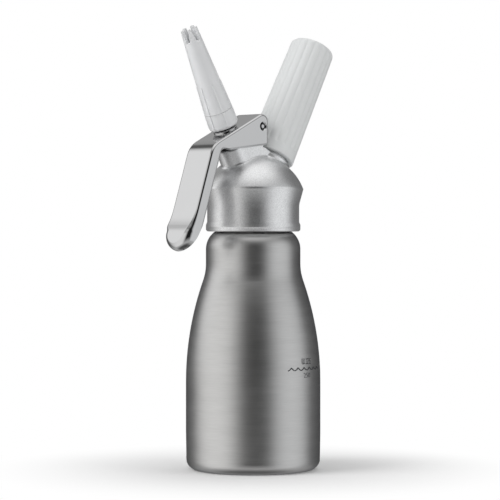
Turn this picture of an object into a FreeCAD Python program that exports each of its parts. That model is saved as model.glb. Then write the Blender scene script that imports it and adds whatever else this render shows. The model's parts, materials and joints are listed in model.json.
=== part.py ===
"""Whipped cream dispenser: a quarter-litre steel bottle under a cast head.

The head carries a sprung valve with a decorating nozzle, a pressed lever that
works the valve, and a screw-on holder for an 8 g gas charger.

Frame: the origin is the centre of the bottle's foot and +Z runs up the bottle.
The lever and nozzle lean towards -X, the charger holder towards +X, and the
lever pin lies along Y.  All sizes are in millimetres and degrees.
"""

import FreeCAD, Part
import math
import os

Vector = FreeCAD.Vector
Z_AXIS = Vector(0, 0, 1)
Y_AXIS = Vector(0, 1, 0)
ORIGIN = Vector(0, 0, 0)

# ---- clearances -------------------------------------------------------------
SLIP = 0.05            # radial clearance of a turning or sliding fit
SEAT = 0.02            # radial clearance of a part that is pressed or screwed home
THREAD_GAP = 0.3       # between the envelopes of two mating screw threads
MOVING_GAP = 0.3       # between faces that move past each other
TINY = 1e-4            # points nearer than this are one
PAST = 1.0             # how far a cut runs past the face that it opens
FINE_R = 0.2           # slight rounding of a hidden edge
SMALL_R = 0.4          # rounding of a small turned edge

# ---- bottle -----------------------------------------------------------------
BARREL_R = 38.25
FOOT_R = 37.9
FOOT_CORNER_R = 6.0
FOOT_TAPER_Z = 22.0
SHOULDER_SLOPE = 19.0      # degrees from upright, where the barrel draws in
SHOULDER_CORNER_Z = 79.1   # where the barrel line would meet the sloping line
SHOULDER_R = 174.0         # long convex sweep
WAIST_SWEEP_R = 29.0       # concave sweep into the collar
COLLAR_R = 26.9
COLLAR_TOP_Z = 131.65
COLLAR_SWEEP_R = 12.4
NECK_R = 21.2
NECK_FOOT_Z = 135.6
RIM_Z = 151.5
NECK_ROOT_R = 0.8
BOTTLE_WALL = 1.0

# ---- head gasket ------------------------------------------------------------
GASKET_T = 2.5
GASKET_IN_R = 17.5
GASKET_OUT_R = 22.3
GASKET_BEAD = 0.5

# ---- head casting -----------------------------------------------------------
SKIRT_BOTTOM_Z = 135.2
SKIRT_LIP_R = 26.9
SKIRT_LIP_H = 3.8
SKIRT_LIP_EDGE_R = 1.5
SKIRT_NECK_H = 1.5         # height over which the lip runs into the skirt
SKIRT_NECK_R = 1.4
SKIRT_R = 26.2
SKIRT_FLARE_Z = 150.4
SKIRT_FLARE_R = 9.0
DOME_EDGE_R = 28.6
DOME_EDGE_Z = 159.2
DOME_CENTRE_Z = 148.6
THREAD_BORE_R = 22.6
BORE_LEAD = 1.0            # widening of the bore at its mouth
BORE_LEAD_H = 3.0
CAVITY_R = 17.6
CAVITY_CENTRE_Z = 153.5
WEB_HALF = 9.2             # half thickness of the web that joins the two bosses
WEB_NECK_DROP = 2.1        # from the pin's axis to where the hub runs into the web
WEB_NECK_R = 2.0
WEB_STEP_IN = 1.6          # step from the charger flange in to the web
WEB_STEP_H = 4.5
WEB_STEP_R = 1.5
DOME_FILLET_R = 1.6        # where the bosses and the web run into the dome

# ---- nozzle axis: tilted towards -X, measured up from where it meets Z ---------
NOZZLE_TILT = 26.5
NOZZLE_AXIS_Z = 149.5
BOSS_TOP = 38.0
BOSS_EDGE_R = 0.8
SEAT_LEVEL = 21.0          # the gasket closes on the head here
SPRING_WELL_FLOOR = 28.0
SPRING_WELL_R = 7.1
STEM_R = 4.0
STEM_BORE_R = 1.9
STEM_NECK_R = 3.0
STEM_FOOT = 13.2
STEM_TOP = 57.0
STEM_NECK_TOP = 23.8
PORT_LEVEL = 22.4
PORT_R = 1.0
ORING_LEVEL = 25.6
ORING_WIRE_R = 0.62
VALVE_GASKET_R = 6.8
VALVE_GASKET_T = 2.4
VALVE_ROOM = 1.0           # free width round the valve gasket, for the cream
NUT_ACROSS_FLATS = 11.0
NUT_T = 4.0
NUT_SIDES = 6
NUT_CHAMFER = 0.8
COLLAR_DISC_R = 8.2
COLLAR_DISC_T = 2.2
COLLAR_HUB_R = 4.9
COLLAR_HUB_H = 2.2
COLLAR_EDGE_R = 0.6
SPRING_WIRE_R = 0.6
SPRING_COIL_R = 5.8
SPRING_TURNS = 5.5
WASHER_T = 0.6

# ---- lever ------------------------------------------------------------------
PIN_X = -2.1
PIN_Z = 194.7
PIN_R = 1.95
PIN_RECESS = 0.35
HUB_R = 4.0
LEVER_HALF = 10.7
LEVER_WALL = 1.2
LEVER_EDGE_R = 1.7
LEVER_INNER_R = 0.6
LEVER_CUT_ROOM = 5.0       # how far the hollow runs past the lever's open edges
PLATE_TOP = 48.05          # outer face of the top plate, along the nozzle axis
LEVER_REAR_X = 2.4
LEVER_REAR_R = 4.3
CHEEK_REAR_Z = 184.2
CHEEK_SLOPE = 6.8          # degrees that the cheek's lower edge falls towards -X
STRAP_LEAN = 18.3          # degrees that the strap leans out from upright
STRAP_CORNER_Z = 183.35    # where plate and strap faces would meet
STRAP_LENGTH = 61.3
STRAP_DEPTH = 7.3
BEND_R = 13.0
STRAP_FLARE = 15.0         # degrees that the strap leans out further lower down
STRAP_FLARE_START = 19.2   # how far up from the tip it starts to
STRAP_FLARE_R = 40.0
STRAP_ROLL = 20.0          # degrees that its end then rolls back inwards
STRAP_ROLL_START = 9.0     # how far up from the tip it does
STRAP_ROLL_R = 18.0
TIP_EDGE_R = 4.4           # LEVER_EDGE_R grows to this round the tip
FLANGE_FALL = 20.0         # how far up from the tip the strap's flange starts to fall away
FLANGE_FALL_R = 40.0
FLANGE_TIP_DEPTH = 2.8
CHEEK_ARCH_R = 2.6
CHEEK_ARCH_RISE = 1.3      # relief notch where the cheek meets the strap's flange
CHEEK_ARCH_WIDTH = 6.5
CHEEK_ARCH_END_R = 1.6
CHEEK_FOOT_R = 1.6
PIN_SINK = 0.6             # countersink round the pin's ends
STEM_HOLE_R = 5.4
EMBOSS_R = 6.9             # raised rim that stiffens the plate round the stem's hole
EMBOSS_H = 0.8
EMBOSS_EDGE_R = 0.5
NIB_R = 1.3
NIB_CENTRE_DROP = 1.0      # nib axis above the plate's outer face minus this
NIB_IN = 5.9
NIB_OUT = 8.0

# ---- decorating nozzle and its adaptor --------------------------------------
ADAPTOR_FOOT = 49.9
ADAPTOR_SEAM = 59.8
ADAPTOR_FOOT_R = 8.35
ADAPTOR_SEAM_R = 8.15
ADAPTOR_CORNER_R = 1.6
SPIGOT_R = 6.0
SPIGOT_TOP = ADAPTOR_SEAM + 7.2
OUTLET_FLARE = 1.4         # widening of the outlet through the adaptor
SEAL_T = 1.4
NOZZLE_BASE_R = 8.05
NOZZLE_TIP_R = 4.75
NOZZLE_TIP = 110.0
NOZZLE_WALL = 1.5
NOZZLE_SHOULDER = 1.3      # how far the shoulder over the seal stands in
NOZZLE_FOOT_EDGE_R = 0.3
RIB_COUNT = 6
RIB_PHASE = 5.0
RIB_TOP = 76.5
RIB_WIDTH = 1.1
RIB_HEIGHT = 0.35
RIB_ROOT = 0.6             # how deep a rib is rooted in the taper
STAR_POINTS = 5
STAR_PHASE = 14.0
STAR_DEPTH = 7.2
STAR_GAP_BOTTOM = 2.6
STAR_GAP_TOP = 5.2
STAR_ROOT_R = 1.7

# ---- charger axis: tilted towards +X ----------------------------------------
HOLDER_TILT = 28.5
HOLDER_AXIS_Z = 154.34
FLANGE_R = 12.8
FLANGE_TOP = 25.2
FLANGE_EDGE_R = 0.8
CHARGER_SPIGOT_R = 10.9
CHARGER_SPIGOT_TOP = 36.0
SPIGOT_EDGE_R = 1.0
RECESS_R = 6.05
FLANGE_ROOT = 19.0         # the flange solid starts here, inside the dome
HOLDER_MOUTH = 26.6
HOLDER_TOP = 100.0
HOLDER_MOUTH_R = 14.15
HOLDER_TOP_R = 12.85
HOLDER_TOP_CORNER_R = 2.6
HOLDER_MOUTH_EDGE_R = 1.0
HOLDER_WALL = 2.6
HOLDER_THREAD_DEPTH = 12.0
HOLDER_THREAD_END = 1.5    # slope above the thread, up to the charger's cell
CHARGER_CELL_R = 9.5
CHARGER_CELL_CORNER_R = 2.0
FLUTE_COUNT = 18
FLUTE_PHASE = 10.0
FLUTE_DEPTH = 0.45
FLUTE_FOOT = 34.6
REST_PAD_T = 1.5
REST_PAD_R = 6.0
CHARGER_R = 9.0
CHARGER_LENGTH = 65.0
CHARGER_NECK_R = 4.4
CHARGER_NECK_H = 7.5
CHARGER_SHOULDER_H = 6.5
CHARGER_SHOULDER_R = 8.6
CHARGER_ROOT_R = 1.0
PIERCED_HOLE_R = 1.6
PIERCED_DEPTH = 6.0
PIERCED_TAPER = 1.5
CHARGER_GASKET_T = 2.4
CHARGER_GASKET_IN_R = 2.0
PIN_NEEDLE_R = 1.2
NEEDLE_PROUD = 3.2         # how far the needle reaches into the charger
NEEDLE_POINT_H = 1.6
NEEDLE_TAIL = 1.0          # how far the needle reaches past the sleeve
NEEDLE_SIDE_HOLE_R = 0.35
NEEDLE_SIDE_HOLE_H = 4.0   # from the needle's foot
PIN_POCKET_R = 2.1         # pocket round the needle in the top of the plug
PIN_POCKET_H = 1.0
HOUSING_H = 9.6
FILTER_T = 2.4
SLEEVE_H = 6.5
SLEEVE_R = 2.7


# ---- small helpers ----------------------------------------------------------
def rounded_wire(corners, closed=True):
    """Wire in the XZ plane through (x, z) or (x, z, radius) corners."""
    points = [Vector(corner[0], 0, corner[1]) for corner in corners]
    wanted = [corner[2] if len(corner) > 2 else 0.0 for corner in corners]
    count = len(points)
    half_angles = []
    reaches = []
    for index, here in enumerate(points):
        if wanted[index] <= 0 or (not closed and index in (0, count - 1)):
            half_angles.append(None)
            reaches.append(0.0)
            continue
        back = points[index - 1] - here
        ahead = points[(index + 1) % count] - here
        half = back.getAngle(ahead) / 2.0
        half_angles.append(half)
        reaches.append(wanted[index] / math.tan(half))
    for index in range(count if closed else count - 1):
        follower = (index + 1) % count
        span = points[index].distanceToPoint(points[follower])
        needed = reaches[index] + reaches[follower]
        if needed > span:
            reaches[index] *= span / needed
            reaches[follower] *= span / needed
    edges = []
    last = None
    first = None
    for index, here in enumerate(points):
        if reaches[index] < 1e-6:
            start = end = here
            arc = None
        else:
            back = (points[index - 1] - here).normalize()
            ahead = (points[(index + 1) % count] - here).normalize()
            half = half_angles[index]
            radius = reaches[index] * math.tan(half)
            start = here + back * reaches[index]
            end = here + ahead * reaches[index]
            bisector = (back + ahead).normalize()
            middle = here + bisector * (radius / math.sin(half) - radius)
            arc = Part.Arc(start, middle, end).toShape()
        if last is not None and last.distanceToPoint(start) > 1e-6:
            edges.append(Part.makeLine(last, start))
        if arc is not None:
            edges.append(arc)
        if first is None:
            first = start
        last = end
    if closed and last.distanceToPoint(first) > 1e-6:
        edges.append(Part.makeLine(last, first))
    return Part.Wire(edges)


def inset(corners, wall):
    """Corners of an open outline moved to its left by the wall thickness."""
    points = [Vector(corner[0], 0, corner[1]) for corner in corners]
    normals = []
    for here, ahead in zip(points, points[1:]):
        run = (ahead - here).normalize()
        normals.append(Vector(-run.z, 0, run.x))
    moved = []
    for index, corner in enumerate(corners):
        before = normals[max(index - 1, 0)]
        after = normals[min(index, len(normals) - 1)]
        bisector = before + after
        shift = bisector * (2.0 * wall / bisector.dot(bisector))
        turn = before.cross(after).y
        radius = corner[2] if len(corner) > 2 else 0.0
        if radius > 0:
            radius = radius - wall if turn < 0 else radius + wall
        place = points[index] + shift
        moved.append((place.x, place.z, max(radius, 0.0)))
    return moved


def revolved(corners):
    """Solid of revolution about Z from a closed outline."""
    face = Part.Face(rounded_wire(corners))
    return face.revolve(ORIGIN, Z_AXIS, 360)


def slab(corners, half_width):
    """Outline in the XZ plane given an equal thickness each side of it."""
    face = Part.Face(rounded_wire(corners))
    face.translate(Vector(0, -half_width, 0))
    return face.extrude(Vector(0, 2 * half_width, 0))


def cylinder(radius, low, high):
    return Part.makeCylinder(radius, high - low, Vector(0, 0, low))


def ring(outer, inner, low, high):
    return cylinder(outer, low, high).cut(cylinder(inner, low, high))


def tilted(shape, tilt, height):
    """Place a shape made about Z on an axis that leans by tilt in the XZ plane."""
    placed = shape.copy()
    placed.rotate(ORIGIN, Y_AXIS, tilt)
    placed.translate(Vector(0, 0, height))
    return placed


def on_nozzle_axis(shape):
    return tilted(shape, -NOZZLE_TILT, NOZZLE_AXIS_Z)


def on_charger_axis(shape):
    return tilted(shape, HOLDER_TILT, HOLDER_AXIS_Z)


def nozzle_point(along, across):
    """XZ place of a point given along the nozzle axis and across it (+ is +X)."""
    angle = math.radians(NOZZLE_TILT)
    x = -along * math.sin(angle) + across * math.cos(angle)
    z = NOZZLE_AXIS_Z + along * math.cos(angle) + across * math.sin(angle)
    return x, z


def charger_point(along, across):
    angle = math.radians(HOLDER_TILT)
    x = along * math.sin(angle) + across * math.cos(angle)
    z = HOLDER_AXIS_Z + along * math.cos(angle) - across * math.sin(angle)
    return x, z


def meet(point_a, lean_a, point_b, lean_b):
    """Where two XZ lines cross; a lean is degrees from +Z towards +X."""
    ax, az = math.sin(math.radians(lean_a)), math.cos(math.radians(lean_a))
    bx, bz = math.sin(math.radians(lean_b)), math.cos(math.radians(lean_b))
    dx, dz = point_b[0] - point_a[0], point_b[1] - point_a[1]
    step = (dx * bz - dz * bx) / (ax * bz - az * bx)
    return point_a[0] + step * ax, point_a[1] + step * az


def polar_copies(shape, count, phase):
    """Copies of a shape turned evenly about Z."""
    copies = []
    for index in range(count):
        copy = shape.copy()
        copy.rotate(ORIGIN, Z_AXIS, phase + 360.0 * index / count)
        copies.append(copy)
    return copies


# ---- bottle and gasket ------------------------------------------------------
def bottle_body():
    """Deep-drawn shell from foot to rim, one wall thick."""
    side = [
        (0, 0),
        (FOOT_R, 0, FOOT_CORNER_R),
        (BARREL_R, FOOT_TAPER_Z, BARREL_R),
        (BARREL_R, SHOULDER_CORNER_Z, SHOULDER_R),
        (COLLAR_R, waist_corner_z(), WAIST_SWEEP_R),
        (COLLAR_R, COLLAR_TOP_Z, COLLAR_SWEEP_R),
        (NECK_R, NECK_FOOT_Z, NECK_ROOT_R),
        (NECK_R, RIM_Z),
    ]
    return revolved(side + inset(side, BOTTLE_WALL)[::-1])


def waist_corner_z():
    """Height where the sloping shoulder line would meet the collar line."""
    run = BARREL_R - COLLAR_R
    return SHOULDER_CORNER_Z + run / math.tan(math.radians(SHOULDER_SLOPE))


def head_gasket():
    """Flat silicone ring between the bottle's rim and the head."""
    top = RIM_Z + GASKET_T
    return revolved([
        (GASKET_IN_R, RIM_Z, GASKET_BEAD),
        (GASKET_OUT_R, RIM_Z, GASKET_BEAD),
        (GASKET_OUT_R, top, GASKET_BEAD),
        (GASKET_IN_R, top, GASKET_BEAD),
    ])


# ---- head casting -----------------------------------------------------------
def dome_radius():
    return math.hypot(DOME_EDGE_R, DOME_EDGE_Z - DOME_CENTRE_Z)


def skirt_and_dome():
    """Solid envelope of the skirt, its rolled lip and the dome."""
    lip_top = SKIRT_BOTTOM_Z + SKIRT_LIP_H
    skirt = revolved([
        (0, SKIRT_BOTTOM_Z),
        (SKIRT_LIP_R, SKIRT_BOTTOM_Z, SKIRT_LIP_EDGE_R),
        (SKIRT_LIP_R, lip_top, SKIRT_NECK_R),
        (SKIRT_R, lip_top + SKIRT_NECK_H, SKIRT_NECK_R),
        (SKIRT_R, SKIRT_FLARE_Z, SKIRT_FLARE_R),
        (DOME_EDGE_R, DOME_EDGE_Z),
        (0, DOME_EDGE_Z),
    ])
    ball = Part.makeSphere(dome_radius(), Vector(0, 0, DOME_CENTRE_Z))
    above = cylinder(2 * DOME_EDGE_R, DOME_EDGE_Z, DOME_EDGE_Z + 2 * DOME_EDGE_R)
    return skirt.fuse(ball.common(above))


def web():
    """Thick web from the outlet boss over the pin hub to the charger flange."""
    boss_corner = nozzle_point(BOSS_TOP, WEB_HALF)
    boss_centre = nozzle_point(BOSS_TOP, 0)
    flange_corner = charger_point(FLANGE_TOP, -FLANGE_R)
    flange_centre = charger_point(FLANGE_TOP, 0)
    step_x = flange_corner[0] - WEB_STEP_IN
    neck_z = PIN_Z - WEB_NECK_DROP
    return slab([
        nozzle_point(SEAT_LEVEL, 0),
        boss_centre,
        boss_corner,
        (PIN_X - HUB_R, neck_z, WEB_NECK_R),
        (PIN_X - HUB_R, PIN_Z + HUB_R, HUB_R),
        (PIN_X + HUB_R, PIN_Z + HUB_R, HUB_R),
        (PIN_X + HUB_R, neck_z, WEB_NECK_R),
        (step_x, flange_corner[1] + WEB_STEP_H, WEB_STEP_R),
        (step_x, flange_corner[1] + SMALL_R, SMALL_R),
        flange_corner,
        flange_centre,
        charger_point(FLANGE_ROOT, 0),
    ], WEB_HALF)


def dome_seams(casting):
    """Edges where the bosses and the web meet the dome."""
    centre = Vector(0, 0, DOME_CENTRE_Z)
    seams = []
    for edge in casting.Edges:
        first, last = edge.ParameterRange
        samples = [edge.valueAt(first + (last - first) * share) for share in (0.1, 0.5, 0.9)]
        on_dome = all(abs(p.distanceToPoint(centre) - dome_radius()) < TINY for p in samples)
        above = all(p.z > DOME_EDGE_Z + DOME_FILLET_R / 2 for p in samples)
        if on_dome and above:
            seams.append(edge)
    return seams


def head_casting():
    """One casting: skirt, dome, outlet boss, charger flange and pin web."""
    boss = revolved([
        (0, SEAT_LEVEL),
        (WEB_HALF, SEAT_LEVEL),
        (WEB_HALF, BOSS_TOP, BOSS_EDGE_R),
        (0, BOSS_TOP),
    ])
    flange = revolved([
        (0, FLANGE_ROOT),
        (FLANGE_R, FLANGE_ROOT),
        (FLANGE_R, FLANGE_TOP, FLANGE_EDGE_R),
        (CHARGER_SPIGOT_R, FLANGE_TOP),
        (CHARGER_SPIGOT_R, CHARGER_SPIGOT_TOP, SPIGOT_EDGE_R),
        (0, CHARGER_SPIGOT_TOP),
    ])
    outer = skirt_and_dome().fuse([on_nozzle_axis(boss), on_charger_axis(flange), web()])
    outer = outer.removeSplitter()
    outer = outer.makeFillet(DOME_FILLET_R, dome_seams(outer))
    seat_z = RIM_Z + GASKET_T
    bore = revolved([
        (0, SKIRT_BOTTOM_Z - PAST),
        (THREAD_BORE_R + BORE_LEAD, SKIRT_BOTTOM_Z - PAST),
        (THREAD_BORE_R + BORE_LEAD, SKIRT_BOTTOM_Z + BORE_LEAD_H / 2, BORE_LEAD),
        (THREAD_BORE_R, SKIRT_BOTTOM_Z + BORE_LEAD_H),
        (THREAD_BORE_R, seat_z),
        (0, seat_z),
    ])
    cavity = Part.makeSphere(CAVITY_R, Vector(0, 0, CAVITY_CENTRE_Z))
    valve_bore = revolved([
        (0, 0),
        (VALVE_GASKET_R + VALVE_ROOM, 0),
        (VALVE_GASKET_R + VALVE_ROOM, SEAT_LEVEL),
        (STEM_R + SLIP, SEAT_LEVEL),
        (STEM_R + SLIP, SPRING_WELL_FLOOR),
        (SPRING_WELL_R, SPRING_WELL_FLOOR),
        (SPRING_WELL_R, BOSS_TOP + PAST),
        (0, BOSS_TOP + PAST),
    ])
    charger_bore = cylinder(RECESS_R, 0, CHARGER_SPIGOT_TOP + PAST)
    pin_hole = Part.makeCylinder(
        PIN_R + SEAT, 4 * WEB_HALF, Vector(PIN_X, -2 * WEB_HALF, PIN_Z), Y_AXIS)
    return outer.cut([bore, cavity, on_nozzle_axis(valve_bore),
                      on_charger_axis(charger_bore), pin_hole])


# ---- valve ------------------------------------------------------------------
def valve_stem():
    """Hollow stem: cream enters at the cross ports and leaves at the top."""
    stem = revolved([
        (0, STEM_FOOT),
        (STEM_NECK_R, STEM_FOOT, SMALL_R),
        (STEM_NECK_R, STEM_NECK_TOP),
        (STEM_R, STEM_NECK_TOP + SMALL_R),
        (STEM_R, STEM_TOP, SMALL_R),
        (0, STEM_TOP),
    ])
    groove_half = ORING_WIRE_R + SLIP
    groove = ring(STEM_R + PAST, STEM_R - 2 * ORING_WIRE_R,
                  ORING_LEVEL - groove_half, ORING_LEVEL + groove_half)
    bore = cylinder(STEM_BORE_R, PORT_LEVEL - 1.5 * PORT_R, STEM_TOP + PAST)
    ports = []
    for direction in (Vector(1, 0, 0), Vector(0, 1, 0)):
        start = Vector(0, 0, PORT_LEVEL) - direction * (2 * STEM_R)
        ports.append(Part.makeCylinder(PORT_R, 4 * STEM_R, start, direction))
    return on_nozzle_axis(stem.cut([groove, bore] + ports))


def stem_o_ring():
    """Ring that seals the stem in its bore."""
    centre_r = STEM_R + SEAT - ORING_WIRE_R
    return on_nozzle_axis(Part.makeTorus(centre_r, ORING_WIRE_R, Vector(0, 0, ORING_LEVEL)))


def valve_gasket():
    """Rubber washer that closes on the underside of the head."""
    low = SEAT_LEVEL - VALVE_GASKET_T
    return on_nozzle_axis(revolved([
        (STEM_NECK_R + SEAT, low),
        (VALVE_GASKET_R, low, SMALL_R),
        (VALVE_GASKET_R, SEAT_LEVEL, SMALL_R),
        (STEM_NECK_R + SEAT, SEAT_LEVEL),
    ]))


def valve_nut():
    """Hexagon nut that clamps the valve gasket on the stem."""
    high = SEAT_LEVEL - VALVE_GASKET_T
    low = high - NUT_T
    flat_r = NUT_ACROSS_FLATS / 2
    corner_r = flat_r / math.cos(math.pi / NUT_SIDES)
    corners = []
    for index in range(NUT_SIDES + 1):
        angle = 2 * math.pi * (index + 0.5) / NUT_SIDES
        corners.append(Vector(corner_r * math.cos(angle), corner_r * math.sin(angle), low))
    prism = Part.Face(Part.makePolygon(corners)).extrude(Vector(0, 0, NUT_T))
    turned = revolved([
        (0, low),
        (flat_r, low),
        (corner_r, low + NUT_CHAMFER),
        (corner_r, high - NUT_CHAMFER),
        (flat_r, high),
        (0, high),
    ])
    nut = prism.common(turned).cut(cylinder(STEM_NECK_R + SEAT, low - PAST, high + PAST))
    return on_nozzle_axis(nut)


def collar_top():
    """Level of the collar's upper face, a moving gap under the lever's nibs."""
    return nib_level() - NIB_R - MOVING_GAP / 2


def nib_level():
    """Level of the nibs' axis, just inside the top plate."""
    return PLATE_TOP - NIB_CENTRE_DROP


def spring_collar():
    """Disc on the stem: the lever presses it down and the spring lifts it."""
    top = collar_top()
    low = top - COLLAR_DISC_T
    return on_nozzle_axis(revolved([
        (STEM_R + SEAT, low - COLLAR_HUB_H),
        (COLLAR_HUB_R, low - COLLAR_HUB_H, FINE_R),
        (COLLAR_HUB_R, low),
        (COLLAR_DISC_R, low, COLLAR_EDGE_R),
        (COLLAR_DISC_R, top, COLLAR_EDGE_R),
        (STEM_R + SEAT, top),
    ]))


def spring_washer():
    """Thin washer on the floor of the spring well."""
    return on_nozzle_axis(ring(SPRING_WELL_R - MOVING_GAP, STEM_R + MOVING_GAP,
                               SPRING_WELL_FLOOR, SPRING_WELL_FLOOR + WASHER_T))


def valve_spring():
    """Compression spring between the washer and the collar."""
    low = SPRING_WELL_FLOOR + WASHER_T + SPRING_WIRE_R
    high = collar_top() - COLLAR_DISC_T - SPRING_WIRE_R
    pitch = (high - low) / SPRING_TURNS
    path = Part.makeLongHelix(pitch, high - low, SPRING_COIL_R)
    slope = math.atan2(pitch, 2 * math.pi * SPRING_COIL_R)
    along = Vector(0, math.cos(slope), math.sin(slope))
    section = Part.Wire(Part.makeCircle(SPRING_WIRE_R, Vector(SPRING_COIL_R, 0, 0), along))
    coil = Part.Wire(path).makePipeShell([section], True, True)
    coil.translate(Vector(0, 0, low))
    return on_nozzle_axis(coil)


# ---- lever and pin ----------------------------------------------------------
def lever_face():
    """Side outline of the lever's outer face, from the cheeks' rear foot to the tip."""
    plate_at = nozzle_point(PLATE_TOP, 0)
    plate_lean = 90.0 - NOZZLE_TILT
    square = STRAP_LEAN + 90.0
    rear_top = meet(plate_at, plate_lean, (LEVER_REAR_X, 0), 0)
    bend = meet(plate_at, plate_lean, strap_point(0, 0), STRAP_LEAN)
    flare = strap_point(STRAP_LENGTH - STRAP_FLARE_START, 0)
    flare_lean = STRAP_LEAN + STRAP_FLARE
    roll = meet(flare, flare_lean, strap_point(STRAP_LENGTH - STRAP_ROLL_START, 0), square)
    tip = meet(roll, flare_lean - STRAP_ROLL, strap_point(STRAP_LENGTH + PAST, 0), square)
    return [
        (LEVER_REAR_X, CHEEK_REAR_Z),
        (rear_top[0], rear_top[1], LEVER_REAR_R),
        (bend[0], bend[1], BEND_R),
        (flare[0], flare[1], STRAP_FLARE_R),
        (roll[0], roll[1], STRAP_ROLL_R),
        tip,
    ]


def lever_corners(inner):
    """Closed side outline of the lever, or of the hollow inside it."""
    wall = LEVER_WALL if inner else 0.0
    room = LEVER_CUT_ROOM if inner else 0.0
    corners = inset(lever_face(), wall)[1:]
    tip_back = strap_point(STRAP_LENGTH + PAST, STRAP_DEPTH + room)
    corners.append(tip_back)
    cheek_at = (LEVER_REAR_X, CHEEK_REAR_Z - room)
    arch = meet(cheek_at, 90 - CHEEK_SLOPE, tip_back, STRAP_LEAN)
    if inner:
        rear_reach = (LEVER_REAR_R - wall) / math.tan(math.radians(45 - NOZZLE_TILT / 2))
        open_z = corners[0][1] - rear_reach
        open_x = LEVER_REAR_X + room
        corners += [
            arch,
            (open_x, cheek_at[1]),
            (open_x, open_z),
            (LEVER_REAR_X - wall, open_z),
        ]
    else:
        notch_top = arch[1] + CHEEK_ARCH_RISE
        notch_start = meet((arch[0], notch_top), 90, tip_back, STRAP_LEAN)
        notch_foot = meet(cheek_at, 90 - CHEEK_SLOPE, (arch[0] + CHEEK_ARCH_WIDTH, 0), 0)
        corners += [
            (notch_start[0], notch_start[1], CHEEK_ARCH_R),
            (notch_foot[0], notch_foot[1], CHEEK_ARCH_END_R),
            (cheek_at[0], cheek_at[1], CHEEK_FOOT_R),
        ]
    return corners


def flange_fall():
    """What is cut off behind the strap, where its flange falls away to the tip."""
    upper = STRAP_LENGTH - 2 * FLANGE_FALL
    start = strap_point(STRAP_LENGTH - FLANGE_FALL, STRAP_DEPTH)
    slope = (STRAP_DEPTH - FLANGE_TIP_DEPTH) / FLANGE_FALL
    past_tip = STRAP_LENGTH + PAST
    return slab([
        strap_point(upper, STRAP_DEPTH),
        (start[0], start[1], FLANGE_FALL_R),
        strap_point(past_tip, FLANGE_TIP_DEPTH - slope * PAST),
        strap_point(past_tip, 2 * STRAP_DEPTH),
        strap_point(upper, 2 * STRAP_DEPTH),
    ], LEVER_HALF + PAST)


def strap_point(along, inward):
    """Point along the strap from its outer corner, and inward from its face."""
    corner = meet(nozzle_point(PLATE_TOP, 0), 90.0 - NOZZLE_TILT, (0, STRAP_CORNER_Z), 90)
    lean = math.radians(STRAP_LEAN)
    x = corner[0] - along * math.sin(lean) + inward * math.cos(lean)
    z = corner[1] - along * math.cos(lean) - inward * math.sin(lean)
    return x, z


def tongue(half_width, length):
    """Prism across the strap with a round lower end, for trimming the tip."""
    top = -2 * length
    straight = length - half_width
    depth = 4 * length

    def place(across, along):
        x, z = strap_point(along, -depth / 2)
        return Vector(x, across, z)

    outline = Part.Wire([
        Part.makeLine(place(-half_width, top), place(half_width, top)),
        Part.makeLine(place(half_width, top), place(half_width, straight)),
        Part.Arc(place(half_width, straight), place(0, length),
                 place(-half_width, straight)).toShape(),
        Part.makeLine(place(-half_width, straight), place(-half_width, top)),
    ])
    lean = math.radians(STRAP_LEAN)
    return Part.Face(outline).extrude(Vector(math.cos(lean), 0, -math.sin(lean)) * depth)


def along_strap(point):
    """How far down the strap a point lies, from its outer corner."""
    top_x, top_z = strap_point(0, 0)
    lean = math.radians(STRAP_LEAN)
    return (top_x - point.x) * math.sin(lean) + (top_z - point.z) * math.cos(lean)


def face_edges(solid, wall):
    """Numbers of the edges round the lever's face, or round its hollow's."""
    sheet = rounded_wire(inset(lever_face(), wall), closed=False)
    sheet = sheet.extrude(Vector(0, 2 * LEVER_HALF, 0))
    sheet.translate(Vector(0, -LEVER_HALF, 0))
    chosen = []
    for number, edge in enumerate(solid.Edges, start=1):
        first, last = edge.ParameterRange
        samples = [edge.valueAt(first + (last - first) * share) for share in (0.2, 0.5, 0.8)]
        on_face = all(sheet.distToShape(Part.Vertex(point))[0] < TINY for point in samples)
        is_line = edge.Curve.TypeId == "Part::GeomLine"
        crosses = is_line and abs(samples[1].y) < TINY
        if on_face and not crosses:
            chosen.append(number)
    return chosen


def rounded_face(solid, wall, edge_r, tip_r):
    """Solid with its face's edges rounded, by a radius that grows round the tip."""
    grows_from = STRAP_LENGTH - STRAP_FLARE_START
    grown_at = STRAP_LENGTH - LEVER_HALF

    def radius(point):
        share = (along_strap(point) - grows_from) / (grown_at - grows_from)
        return edge_r + min(max(share, 0.0), 1.0) * (tip_r - edge_r)

    rows = []
    for number in face_edges(solid, wall):
        edge = solid.Edges[number - 1]
        ends = [edge.valueAt(place) for place in edge.ParameterRange]
        rows.append((number, radius(ends[0]), radius(ends[1])))
    document = FreeCAD.newDocument("lever")
    base = document.addObject("Part::Feature", "base")
    base.Shape = solid
    rounding = document.addObject("Part::Fillet", "rounding")
    rounding.Base = base
    rounding.Edges = rows
    document.recompute()
    rounded = rounding.Shape.copy()
    FreeCAD.closeDocument(document.Name)
    return rounded


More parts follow.
